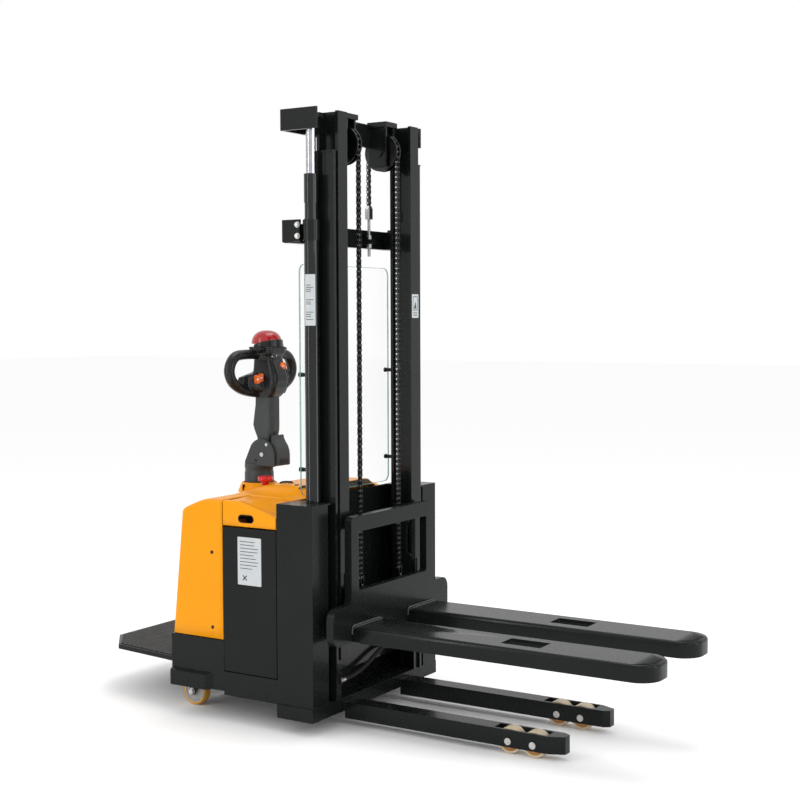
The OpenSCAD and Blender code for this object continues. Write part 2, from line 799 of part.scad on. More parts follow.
// Tube swept along a list of points, with eight sides
module swept_tube(path, r) {
    sides = 8;
    n = len(path);
    dirs = [for (i = [0 : n - 1])
        let (d = path[min(i + 1, n - 1)] - path[max(i - 1, 0)]) d / norm(d)];
    pts = [for (i = [0 : n - 1]) for (k = [0 : sides - 1])
        let (u0 = cross([0, 0, 1], dirs[i]), u = u0 / norm(u0), v = cross(dirs[i], u), a = 360 * k / sides)
            path[i] + r * (cos(a) * u + sin(a) * v)];
    walls = [for (i = [0 : n - 2]) for (k = [0 : sides - 1]) let (k2 = (k + 1) % sides)
        [i * sides + k, i * sides + k2, (i + 1) * sides + k2, (i + 1) * sides + k]];
    polyhedron(pts, concat(walls, [[for (k = [sides - 1 : -1 : 0]) k]],
        [[for (k = [0 : sides - 1]) (n - 1) * sides + k]]));
}

module hydraulic_hose() color("#121212") swept_tube(hose_path, hose_r);

module platform_hinge() {
    color("#1d2021") both_sides() {
        difference() {
            slab([hinge_x - 9, tub_rear], [150, 162], [hinge_z - 12, hinge_z + 9]);
            rod_y(6, [149, 163], hinge_x, hinge_z);
        }
        rod_y(6, [142, 240], hinge_x, hinge_z);
    }
}

// ---------- drive and steering ----------

module drive_unit() {
    color("#4b4f51") {
        rod_z(84, [2 * drive_r + 8, 222], steer, 0);
        rod_z(66, [222 - eps, 520], steer, 0);
        rod_z(24, [520 - eps, base_low], steer, 0);
        difference() {
            slab([steer - 46, steer + 46], [drive_w / 2 + 4, drive_w / 2 + 34], [drive_r - 45, 2 * drive_r + 9]);
        }
        rod_y(14, [-drive_w / 2, drive_w / 2 + 10], steer, drive_z);
    }
}

module drive_wheel() {
    color("#22252a") ring_y(14 + run_fit, drive_r, [-drive_w / 2, drive_w / 2], steer, drive_z);
}

module knuckle_outline() {
    difference() {
        union() {
            translate([pivot, pivot_z]) circle(62);
            translate([steer - 38, base_high - 4]) square([pivot - steer + 101, 45]);
            polygon([[steer - 38, base_high + 20], [pivot - 50, pivot_z + 38], [pivot, pivot_z]]);
        }
        translate([pivot + 63, base_high]) square([40, 200]);
        translate([steer - 200, base_high - 204]) square([500, 200]);
    }
}

module tiller_base() {
    color("#3a3e40") {
        rod_z(base_r, [base_low, base_high], steer, 0);
        difference() {
            both_sides() plate_xz(38, 10) knuckle_outline();
            rod_y(9 + run_fit, [-60, 60], pivot, pivot_z);
        }
        slab([pivot + 40, pivot + 74], [-39, 39], [base_high - 4, pivot_z + 50]);
    }
}

module tiller_arm() {
    color("#3a3e40") {
        difference() {
            union() {
                rod_y(30, [-37, 37], pivot, pivot_z);
                slab([pivot - 28, pivot + 28], [-37, 37], [pivot_z, pivot_z + 80]);
                plate_xz(-37, 74) polygon([[pivot - 28, pivot_z + 66], [pivot + 28, pivot_z + 66],
                    [pivot + 42, pivot_z + 96], [pivot + 42, head_low], [pivot - 38, head_low],
                    [pivot - 52, pivot_z + 116]]);
            }
        }
        rod_y(9, [-52, 52], pivot, pivot_z);
    }
}

// Outline of one handle loop in (y, z), drawn inwards by t
module loop_outline(t) {
    w = head_half - t;
    $fn = 48;
    hull() {
        translate([w - 50 + t / 2, head_low + 190 - 45]) circle(45 - t / 2);
        translate([w - 62 + t / 2, head_low + 110]) circle(60 - t / 2);
        translate([40 + t, head_low + 180 - t / 2]) circle(8);
        translate([40 + t, head_low + 30 + t * 1.1]) circle(12);
    }
}

module tiller_head() {
    color("#17191a") difference() {
        union() {
            both_sides() plate_yz(loop_x - grip_t / 2, grip_t) difference() {
                loop_outline(0);
                loop_outline(36);
            }
            slab([head_x - 34, head_x + 46], [-44, 44], [head_low, head_high - 24]);
            hull() {
                slab([loop_x, head_x + 72], [-50, 50], [head_low + 40, head_low + 90]);
                slab([loop_x, head_x + 46], [-38, 38], [head_low, head_low + 150]);
            }
            hull() {
                slab([loop_x, key_x - 1], [-96, 96], [head_low + 48, head_low + 92]);
                slab([loop_x, key_x], [-70, 70], [head_low + 30, head_low + 96]);
            }
            rod_z(60, [head_high - 25, head_high], head_x, 0);
            plate_yz(loop_x - grip_t / 2, grip_t) hull() {
                translate([0, head_low + 62]) circle(62, $fn = 48);
                for (s = [-1, 1]) translate([s * 80, head_low + 56]) circle(40, $fn = 48);
            }
        }
        rod_z(42, [head_high - 16, head_high + eps], head_x, 0);
        rod_y(5 + slide_gap, [-61, -43], throttle_x, throttle_z);
        rod_y(5 + slide_gap, [43, 61], throttle_x, throttle_z);
        for (b = head_buttons) rod_x(9 + slide_gap, [b[0] - 14, b[0] + 20], b[1], b[2]);
    }
}

// Places of the head's buttons: x of the face, y, z
head_buttons = [
    [key_x, -79, head_low + 74], [key_x, -55, head_low + 80],
    [head_x + 56, 22, head_low + 124], [key_x, 76, head_low + 76]
];

module head_button(i) {
    b = head_buttons[i];
    color("#f47b20") rod_x(9, [b[0] - 10, b[0] + 7], b[1], b[2]);
}

module belly_button() {
    r = 61;
    h = 54;
    color("#b8231f") translate([head_x, 0, head_high + 7]) {
        rotate_extrude() polygon(concat([[0, 0]],
            [for (a = [0 : 6 : 84]) [r * cos(a), h * sin(a)]], [[0, h]]));
        translate([0, 0, -14]) cylinder(r = 38, h = 15);
    }
}

module thumb_throttle() {
    color("#202223") both_sides() {
        rod_y(5, [44, 66], throttle_x, throttle_z);
        slab([throttle_x - 16, throttle_x + 20], [62, 84], [throttle_z - 5, throttle_z + 5]);
    }
}

// ---------- platform ----------

module deck_plan(inset) {
    x0 = deck_rear + inset;
    x1 = hinge_x - 2 - inset;
    h = deck_half - inset;
    polygon([[x1, -h], [x0 + 113, -h + 44], [x0, -199 + inset / 2], [x0, 199 - inset / 2], [x0 + 113, h - 44],
        [x1, h]]);
}

module platform() {
    color("#1b1d1e") difference() {
        union() {
            translate([0, 0, deck_top - deck_t]) linear_extrude(deck_t) deck_plan(0);
            both_sides() rod_y(deck_t / 2, [166, 236], hinge_x, hinge_z);
            both_sides() slab([hinge_x - 4, hinge_x], [166, 236], [hinge_z - 9, hinge_z + 9]);
        }
        both_sides() rod_y(6 + run_fit, [160, 244], hinge_x, hinge_z);
        both_sides() slab([hinge_x - 14, hinge_x + 14], [136, 165.5], [hinge_z - 20, hinge_z + 20]);
    }
}

module platform_mat() {
    color("#0f1011") translate([0, 0, deck_top]) linear_extrude(4) deck_plan(14);
}

module estop_knob() {
    color("#d3302b") {
        rod_z(14, [estop_z - 26, estop_z + 24], estop_x, estop_y);
        rod_z(29, [estop_z + 23, estop_z + 40], estop_x, estop_y);
    }
}

place() base_frame();
place() mast_housing();
place() leg(LEFT);  // leg_left
place() leg(RIGHT);  // leg_right
place() roller_axles();
place() rear_cover();
place() side_cover(LEFT);  // side_cover_left
place() side_cover(RIGHT);  // side_cover_right
place() door(LEFT);  // door_left
place() door(RIGHT);  // door_right
place() console();
place() battery();
place() hydraulic_unit();
place() controller();
place() trim_fasteners();
place() outer_upright(LEFT);  // outer_upright_left
place() outer_upright(RIGHT);  // outer_upright_right
place() outer_crossbars();
place() cylinder_barrels();
place() cylinder_clamps();
place() chain_anchors();
place() hydraulic_hose();
place() screen();
place() platform_hinge();
place() chains_rear();
place() inner_upright(LEFT);  // inner_upright_left
place() inner_upright(RIGHT);  // inner_upright_right
place() inner_crossmembers();
place() piston_rods();
place() chains_front();
place() chain_sheaves();
place() outer_guide_rollers();
place() inner_guide_rollers();
place() carriage_frame();
place() color("#2b2f30") fork(LEFT);  // fork_left
place() color("#2b2f30") fork(RIGHT);  // fork_right
place() carriage_rollers_upper();
place() carriage_rollers_lower();
place() load_roller(LEFT, load_x1);  // load_roller_left_rear
place() load_roller(LEFT, load_x1 + load_pitch);  // load_roller_left_front
place() load_roller(RIGHT, load_x1);  // load_roller_right_rear
place() load_roller(RIGHT, load_x1 + load_pitch);  // load_roller_right_front
place() drive_unit();
place() drive_wheel();
place() tiller_base();
place() tiller_arm();
place() tiller_head();
place() belly_button();
place() head_button(0);  // lift_button
place() head_button(1);  // lower_button
place() head_button(2);  // horn_button
place() head_button(3);  // slow_button
place() thumb_throttle();
place() caster_fork(LEFT);  // caster_fork_left
place() caster_fork(RIGHT);  // caster_fork_right
place() caster_wheel(LEFT);  // caster_wheel_left
place() caster_wheel(RIGHT);  // caster_wheel_right
place() platform();
place() platform_mat();
place() estop_knob();
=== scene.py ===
"""Looks of the walkie stacker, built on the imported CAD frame.

Shapes are given in millimetres from the forks' heel face (x), the truck's middle (y) and the floor (z).
"""

import logging
import math
from dataclasses import dataclass, field
from enum import Enum
from typing import Callable, Iterable, Optional, Sequence

import bmesh
import bpy
from mathutils import Matrix, Vector, noise


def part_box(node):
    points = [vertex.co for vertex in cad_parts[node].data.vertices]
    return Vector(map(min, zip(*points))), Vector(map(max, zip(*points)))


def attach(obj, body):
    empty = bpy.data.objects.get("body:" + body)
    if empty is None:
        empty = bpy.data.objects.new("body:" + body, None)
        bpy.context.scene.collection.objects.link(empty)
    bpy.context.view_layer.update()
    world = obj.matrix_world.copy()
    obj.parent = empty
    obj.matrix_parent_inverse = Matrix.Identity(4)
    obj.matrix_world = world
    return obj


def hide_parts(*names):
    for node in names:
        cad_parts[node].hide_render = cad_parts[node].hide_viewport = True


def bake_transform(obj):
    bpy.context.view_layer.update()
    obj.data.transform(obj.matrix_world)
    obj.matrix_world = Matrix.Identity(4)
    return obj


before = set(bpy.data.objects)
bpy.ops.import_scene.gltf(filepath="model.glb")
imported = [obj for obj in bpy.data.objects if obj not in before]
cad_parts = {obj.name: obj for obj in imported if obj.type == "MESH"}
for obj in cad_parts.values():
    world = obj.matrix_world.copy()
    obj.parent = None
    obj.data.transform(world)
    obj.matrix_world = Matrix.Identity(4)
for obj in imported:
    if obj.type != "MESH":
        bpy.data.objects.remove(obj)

LOG = logging.getLogger("stacker")
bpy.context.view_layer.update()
HEEL_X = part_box("fork_left")[0].x * 1000.0
Point = Sequence[float]
Colour = tuple[float, float, float]


class Axis(Enum):
    """Direction that an outline is extruded or turned along."""

    X = 0
    Y = 1
    Z = 2


class Side(Enum):
    """Side of the truck, seen from the operator's platform."""

    LEFT = 1
    RIGHT = -1

    @property
    def word(self) -> str:
        """Lower-case name used in node names."""
        return self.name.lower()


def span(node: str) -> tuple[Vector, Vector]:
    """Corners of a CAD node in millimetres from the heel face.

    Args:
        node: name of the CAD node.

    Returns:
        Lowest and highest corner.
    """
    low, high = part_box(node)
    shift = Vector((HEEL_X, 0.0, 0.0))
    return low * 1000.0 - shift, high * 1000.0 - shift


def to_frame(point: Point) -> Vector:
    """Turns a point in millimetres from the heel face into metres in the frame."""
    return Vector(((point[0] + HEEL_X) / 1000.0, point[1] / 1000.0, point[2] / 1000.0))


def put(axis: Axis, u: float, v: float, w: float) -> Vector:
    """Places the outline point (u, v) at height w along the axis.

    Args:
        axis: axis that the shape runs along.
        u: first place in the outline.
        v: second place in the outline.
        w: height along the axis.

    Returns:
        The placed point.
    """
    if axis is Axis.X:
        return Vector((w, u, v))
    if axis is Axis.Y:
        return Vector((u, w, v))
    return Vector((u, v, w))


def arc(cx: float, cy: float, r: float, start: float, end: float, steps: int) -> list[tuple[float, float]]:
    """Points on a circular arc.

    Args:
        cx: centre, first coordinate.
        cy: centre, second coordinate.
        r: radius.
        start: first angle in degrees.
        end: last angle in degrees.
        steps: number of spans.

    Returns:
        steps + 1 points.
    """
    angles = [math.radians(start + (end - start) * i / steps) for i in range(steps + 1)]
    return [(cx + r * math.cos(a), cy + r * math.sin(a)) for a in angles]


def rounded(lo: Point, hi: Point, r: float, steps: int = 5) -> list[tuple[float, float]]:
    """Outline of a rectangle with round corners, anticlockwise."""
    return (
        arc(hi[0] - r, hi[1] - r, r, 0, 90, steps)
        + arc(lo[0] + r, hi[1] - r, r, 90, 180, steps)
        + arc(lo[0] + r, lo[1] + r, r, 180, 270, steps)
        + arc(hi[0] - r, lo[1] + r, r, 270, 360, steps)
    )


def smooth_path(points: Sequence[Point], steps: int, closed: bool = False) -> list[Vector]:
    """Catmull-Rom curve through the given points.

    Args:
        points: control points.
        steps: spans between two control points.
        closed: whether the curve returns to its start.

    Returns:
        Points along the curve.
    """
    pts = [Vector(p) for p in points]
    count = len(pts)
    spans = count if closed else count - 1

    def at(i: int) -> Vector:
        """Point i, wrapped or held at the ends."""
        return pts[i % count] if closed else pts[min(max(i, 0), count - 1)]

    out: list[Vector] = []
    for i in range(spans):
        a, b, c, d = at(i - 1), at(i), at(i + 1), at(i + 2)
        for k in range(steps):
            t = k / steps
            out.append(
                0.5
                * (2 * b + (c - a) * t + (2 * a - 5 * b + 4 * c - d) * t * t + (3 * b - 3 * c + d - a) * t**3)
            )
    if not closed:
        out.append(pts[-1])
    return out


# ---------------------------------------------------------------- shader effects


class Effects:
    """Node groups that several finishes share."""

    def __init__(self) -> None:
        """Builds every group once."""
        self.tone = self._tone()
        self.relief = self._relief()
        self.wear = self._wear()
        self.streaks = self._streaks()
        self.dust = self._dust()

    @staticmethod
    def _open(
        name: str, inputs: dict[str, float], outputs: dict[str, str]
    ) -> tuple[bpy.types.NodeTree, bpy.types.Node, bpy.types.Node]:
        """Starts a group with its named sockets.

        Args:
            name: name of the group.
            inputs: input names with their default numbers.
            outputs: output names with their socket types.

        Returns:
            The group, its input node and its output node.
        """
        tree = bpy.data.node_groups.new(name, "ShaderNodeTree")
        for label, default in inputs.items():
            socket = tree.interface.new_socket(label, in_out="INPUT", socket_type="NodeSocketFloat")
            socket.default_value = default
        for label, kind in outputs.items():
            tree.interface.new_socket(label, in_out="OUTPUT", socket_type=kind)
        return tree, tree.nodes.new("NodeGroupInput"), tree.nodes.new("NodeGroupOutput")

    @staticmethod
    def _math(
        tree: bpy.types.NodeTree, kind: str, first: bpy.types.NodeSocket, second: object
    ) -> bpy.types.NodeSocket:
        """Adds a math node on two sockets, or on a socket and a number.

        Args:
            tree: node tree to add to, or shared effect to place.
            kind: operation of the node.
            first: first value, colour or socket.
            second: second value, colour or socket.

        Returns:
            The output socket.
        """
        node = tree.nodes.new("ShaderNodeMath")
        node.operation = kind
        tree.links.new(first, node.inputs[0])
        if isinstance(second, (int, float)):
            node.inputs[1].default_value = second
        else:
            tree.links.new(second, node.inputs[1])
        return node.outputs[0]

    def _noise(
        self, tree: bpy.types.NodeTree, scale: bpy.types.NodeSocket, detail: float, stretch: Optional[Point] = None
    ) -> bpy.types.NodeSocket:
        """Adds a noise on object coordinates, stretched when asked.

        Args:
            tree: node tree to add to, or shared effect to place.
            scale: size of the noise.
            detail: number of octaves.
            stretch: scale on each axis.

        Returns:
            The output socket.
        """
        coords = tree.nodes.new("ShaderNodeTexCoord").outputs["Object"]
        if stretch:
            mapping = tree.nodes.new("ShaderNodeMapping")
            mapping.inputs["Scale"].default_value = stretch
            tree.links.new(coords, mapping.inputs["Vector"])
            coords = mapping.outputs["Vector"]
        texture = tree.nodes.new("ShaderNodeTexNoise")
        texture.inputs["Detail"].default_value = detail
        tree.links.new(coords, texture.inputs["Vector"])
        tree.links.new(scale, texture.inputs["Scale"])
        return texture.outputs["Fac"]

    def _tone(self) -> bpy.types.NodeTree:
        """Slow light and dark clouds between 0 and 1.

        Returns:
            The finished group.
        """
        tree, g_in, g_out = self._open(
            "cloudy_tone", {"Scale": 6.0, "Contrast": 1.5}, {"Tone": "NodeSocketFloat"}
        )
        value = self._noise(tree, g_in.outputs["Scale"], 5.0)
        centred = self._math(tree, "SUBTRACT", value, 0.5)
        spread = self._math(tree, "MULTIPLY", centred, g_in.outputs["Contrast"])
        node = tree.nodes.new("ShaderNodeMath")
        node.operation = "ADD"
        node.use_clamp = True
        node.inputs[1].default_value = 0.5
        tree.links.new(spread, node.inputs[0])
        tree.links.new(node.outputs[0], g_out.inputs["Tone"])
        return tree

    def _relief(self) -> bpy.types.NodeTree:
        """Rounded edges with a fine grain on top.

        Returns:
            The finished group.
        """
        tree, g_in, g_out = self._open(
            "rounded_grain",
            {"Rounding": 0.001, "Grain Scale": 400.0, "Grain": 0.1},
            {"Normal": "NodeSocketVector"},
        )
        bevel = tree.nodes.new("ShaderNodeBevel")
        bevel.samples = 4
        bump = tree.nodes.new("ShaderNodeBump")
        bump.inputs["Distance"].default_value = 0.0006
        tree.links.new(g_in.outputs["Rounding"], bevel.inputs["Radius"])
        tree.links.new(self._noise(tree, g_in.outputs["Grain Scale"], 2.0), bump.inputs["Height"])
        tree.links.new(g_in.outputs["Grain"], bump.inputs["Strength"])
        tree.links.new(bevel.outputs["Normal"], bump.inputs["Normal"])
        tree.links.new(bump.outputs["Normal"], g_out.inputs["Normal"])
        return tree

    def _wear(self) -> bpy.types.NodeTree:
        """Mask that is 1 where paint has rubbed off an edge.

        Returns:
            The finished group.
        """
        tree, g_in, g_out = self._open(
            "edge_wear", {"Radius": 0.002, "Amount": 0.5, "Scale": 60.0}, {"Mask": "NodeSocketFloat"}
        )
        bevel = tree.nodes.new("ShaderNodeBevel")
        bevel.samples = 4
        tree.links.new(g_in.outputs["Radius"], bevel.inputs["Radius"])
        geometry = tree.nodes.new("ShaderNodeNewGeometry")
        dot = tree.nodes.new("ShaderNodeVectorMath")
        dot.operation = "DOT_PRODUCT"
        tree.links.new(bevel.outputs["Normal"], dot.inputs[0])
        tree.links.new(geometry.outputs["Normal"], dot.inputs[1])
        bend = tree.nodes.new("ShaderNodeMapRange")
        bend.inputs["From Min"].default_value = 0.99
        bend.inputs["From Max"].default_value = 0.86
        tree.links.new(dot.outputs["Value"], bend.inputs["Value"])
        patch = tree.nodes.new("ShaderNodeMapRange")
        patch.inputs["From Min"].default_value = 0.5
        patch.inputs["From Max"].default_value = 0.68
        tree.links.new(self._noise(tree, g_in.outputs["Scale"], 6.0), patch.inputs["Value"])
        mask = self._math(tree, "MULTIPLY", bend.outputs[0], patch.outputs[0])
        tree.links.new(self._math(tree, "MULTIPLY", mask, g_in.outputs["Amount"]), g_out.inputs["Mask"])
        return tree

    def _streaks(self) -> bpy.types.NodeTree:
        """Fine lines round a turned or drawn piece.

        Returns:
            The finished group.
        """
        tree, g_in, g_out = self._open(
            "tool_streaks", {"Scale": 60.0}, {"Lines": "NodeSocketFloat"}
        )
        lines = self._noise(tree, g_in.outputs["Scale"], 3.0, (1.0, 8.0, 8.0))
        tree.links.new(lines, g_out.inputs["Lines"])
        return tree

    def _dust(self) -> bpy.types.NodeTree:
        """Mask of dust that has settled on level faces.

        Returns:
            The finished group.
        """
        tree, g_in, g_out = self._open("settled_dust", {"Amount": 0.2, "Scale": 30.0}, {"Mask": "NodeSocketFloat"})
        geometry = tree.nodes.new("ShaderNodeNewGeometry")
        parts = tree.nodes.new("ShaderNodeSeparateXYZ")
        tree.links.new(geometry.outputs["Normal"], parts.inputs[0])
        level = tree.nodes.new("ShaderNodeMapRange")
        level.inputs["From Min"].default_value = 0.4
        tree.links.new(parts.outputs["Z"], level.inputs["Value"])
        patchy = self._math(tree, "MULTIPLY", level.outputs[0], self._noise(tree, g_in.outputs["Scale"], 6.0))
        tree.links.new(self._math(tree, "MULTIPLY", patchy, g_in.outputs["Amount"]), g_out.inputs["Mask"])
        return tree


class Shader:
    """One material under construction."""

    def __init__(self, name: str) -> None:
        """Starts a material with its Principled shader.

        Args:
            name: name of the material.
        """
        self.material = bpy.data.materials.new(name)
        self.material.use_nodes = True
        self.tree = self.material.node_tree
        self.principled = self.tree.nodes["Principled BSDF"]

    def fixed(self, **values: object) -> "Shader":
        """Sets plain values on the Principled sockets, with underscores for spaces."""
        for label, value in values.items():
            self.principled.inputs[label.replace("_", " ")].default_value = value
        return self

    def group(self, tree: bpy.types.NodeTree, **values: float) -> bpy.types.Node:
        """Places a shared effect with this material's own values.

        Args:
            tree: node tree to add to, or shared effect to place.

        Returns:
            The placed node.
        """
        node = self.tree.nodes.new("ShaderNodeGroup")
        node.node_tree = tree
        for label, value in values.items():
            node.inputs[label.replace("_", " ")].default_value = value
        return node

    def blend(self, mask: bpy.types.NodeSocket, first: object, second: object) -> bpy.types.NodeSocket:
        """Mixes two colours, each a colour or a socket, by a mask.

        Args:
            mask: socket that chooses between them.
            first: first value, colour or socket.
            second: second value, colour or socket.

        Returns:
            The output socket.
        """
        mix = self.tree.nodes.new("ShaderNodeMix")
        mix.data_type = "RGBA"
        self.tree.links.new(mask, mix.inputs["Factor"])
        for socket, value in ((mix.inputs[6], first), (mix.inputs[7], second)):
            if isinstance(value, tuple):
                socket.default_value = (*value, 1.0)
            else:
                self.tree.links.new(value, socket)
        return mix.outputs[2]

    def remap(self, value: bpy.types.NodeSocket, low: float, high: float) -> bpy.types.NodeSocket:
        """Turns 0 to 1 into low to high.

        Args:
            value: socket from 0 to 1.
            low: lower bound or start.
            high: upper bound or end.

        Returns:
            The output socket.
        """
        node = self.tree.nodes.new("ShaderNodeMapRange")
        node.inputs["To Min"].default_value = low
        node.inputs["To Max"].default_value = high
        self.tree.links.new(value, node.inputs["Value"])
        return node.outputs[0]

    def into(self, label: str, value: bpy.types.NodeSocket) -> "Shader":
        """Links a socket into the Principled shader."""
        self.tree.links.new(value, self.principled.inputs[label])
        return self


@dataclass(frozen=True)
class Paint:
    """Sprayed paint with orange peel and rubbed edges."""

    name: str
    colour: Colour
    shade: Colour
    bare: Colour = (0.16, 0.17, 0.17)
    rough: float = 0.3
    coat: float = 0.3
    rounding: float = 0.002
    peel: float = 0.12
    wear: float = 0.25
    dust: float = 0.02
    spec: float = 0.08
    coat_rough: float = 0.12

    def build(self, fx: Effects) -> bpy.types.Material:
        """Builds the material.

        Args:
            fx: shared effects.

        Returns:
            The finished material.
        """
        s = Shader(self.name).fixed(
            Coat_Weight=self.coat, Coat_Roughness=self.coat_rough, IOR=1.5, Specular_IOR_Level=self.spec,
        )
        tone = s.group(fx.tone, Scale=5.0, Contrast=1.6).outputs[0]
        fine = s.group(fx.tone, Scale=70.0, Contrast=2.0).outputs[0]
        wear = s.group(fx.wear, Radius=self.rounding * 1.2, Amount=self.wear).outputs[0]
        dust = s.group(fx.dust, Amount=self.dust, Scale=18.0).outputs[0]
        base = s.blend(tone, self.colour, self.shade)
        dusty = s.blend(dust, base, (0.32, 0.31, 0.29))
        s.into("Base Color", s.blend(wear, dusty, self.bare))
        s.into("Roughness", s.remap(fine, self.rough * 0.85, self.rough * 1.25))
        s.into("Normal", s.group(fx.relief, Rounding=self.rounding, Grain_Scale=260.0, Grain=self.peel).outputs[0])
        return s.material


@dataclass(frozen=True)
class Metal:
    """Bare or plated metal with tool marks."""

    name: str
    colour: Colour
    shade: Colour
    rough: float = 0.3
    lines: float = 0.15
    rounding: float = 0.0008

    def build(self, fx: Effects) -> bpy.types.Material:
        """Builds the material from the shared effects.

        Args:
            fx: shared effects.

        Returns:
            The finished material.
        """
        s = Shader(self.name).fixed(Metallic=1.0)
        tone = s.group(fx.tone, Scale=40.0, Contrast=1.8).outputs[0]
        lines = s.group(fx.streaks, Scale=90.0).outputs[0]
        s.into("Base Color", s.blend(tone, self.colour, self.shade))
        s.into("Roughness", s.remap(lines, max(self.rough - self.lines, 0.03), self.rough + self.lines))
        s.into("Normal", s.group(fx.relief, Rounding=self.rounding, Grain_Scale=900.0, Grain=0.05).outputs[0])
        return s.material


@dataclass(frozen=True)
class Moulded:
    """Moulded plastic or rubber with a fine grain."""

    name: str
    colour: Colour
    shade: Colour
    rough: float = 0.45
    grain: float = 0.25
    grain_scale: float = 900.0
    coat: float = 0.0
    rounding: float = 0.001
    dust: float = 0.08

    def build(self, fx: Effects) -> bpy.types.Material:
        """Builds the material from the shared effects.

        Args:
            fx: shared effects.

        Returns:
            The finished material.
        """
        s = Shader(self.name).fixed(Coat_Weight=self.coat, Coat_Roughness=0.1, Specular_IOR_Level=0.25)
        tone = s.group(fx.tone, Scale=25.0, Contrast=1.4).outputs[0]
        dust = s.group(fx.dust, Amount=self.dust, Scale=60.0).outputs[0]
        s.into("Base Color", s.blend(dust, s.blend(tone, self.colour, self.shade), (0.3, 0.29, 0.27)))
        s.into("Roughness", s.remap(tone, self.rough * 0.85, self.rough * 1.15))
        s.into(
            "Normal",
            s.group(fx.relief, Rounding=self.rounding, Grain_Scale=self.grain_scale, Grain=self.grain).outputs[0],
        )
        return s.material


@dataclass(frozen=True)
class Clear:
    """Clear sheet, faintly green in its depth."""

    name: str
    colour: Colour
    alpha: float = 0.16
    rough: float = 0.04

    def build(self, fx: Effects) -> bpy.types.Material:
        """Builds the material from the shared effects.

        Args:
            fx: shared effects.

        Returns:
            The finished material.
        """
        s = Shader(self.name).fixed(Base_Color=(*self.colour, 1.0), IOR=1.5)
        smear = s.group(fx.tone, Scale=7.0, Contrast=2.0).outputs[0]
        s.into("Roughness", s.remap(smear, self.rough, self.rough * 3.0))
        s.into("Alpha", s.remap(smear, self.alpha * 0.8, self.alpha * 1.2))
        return s.material


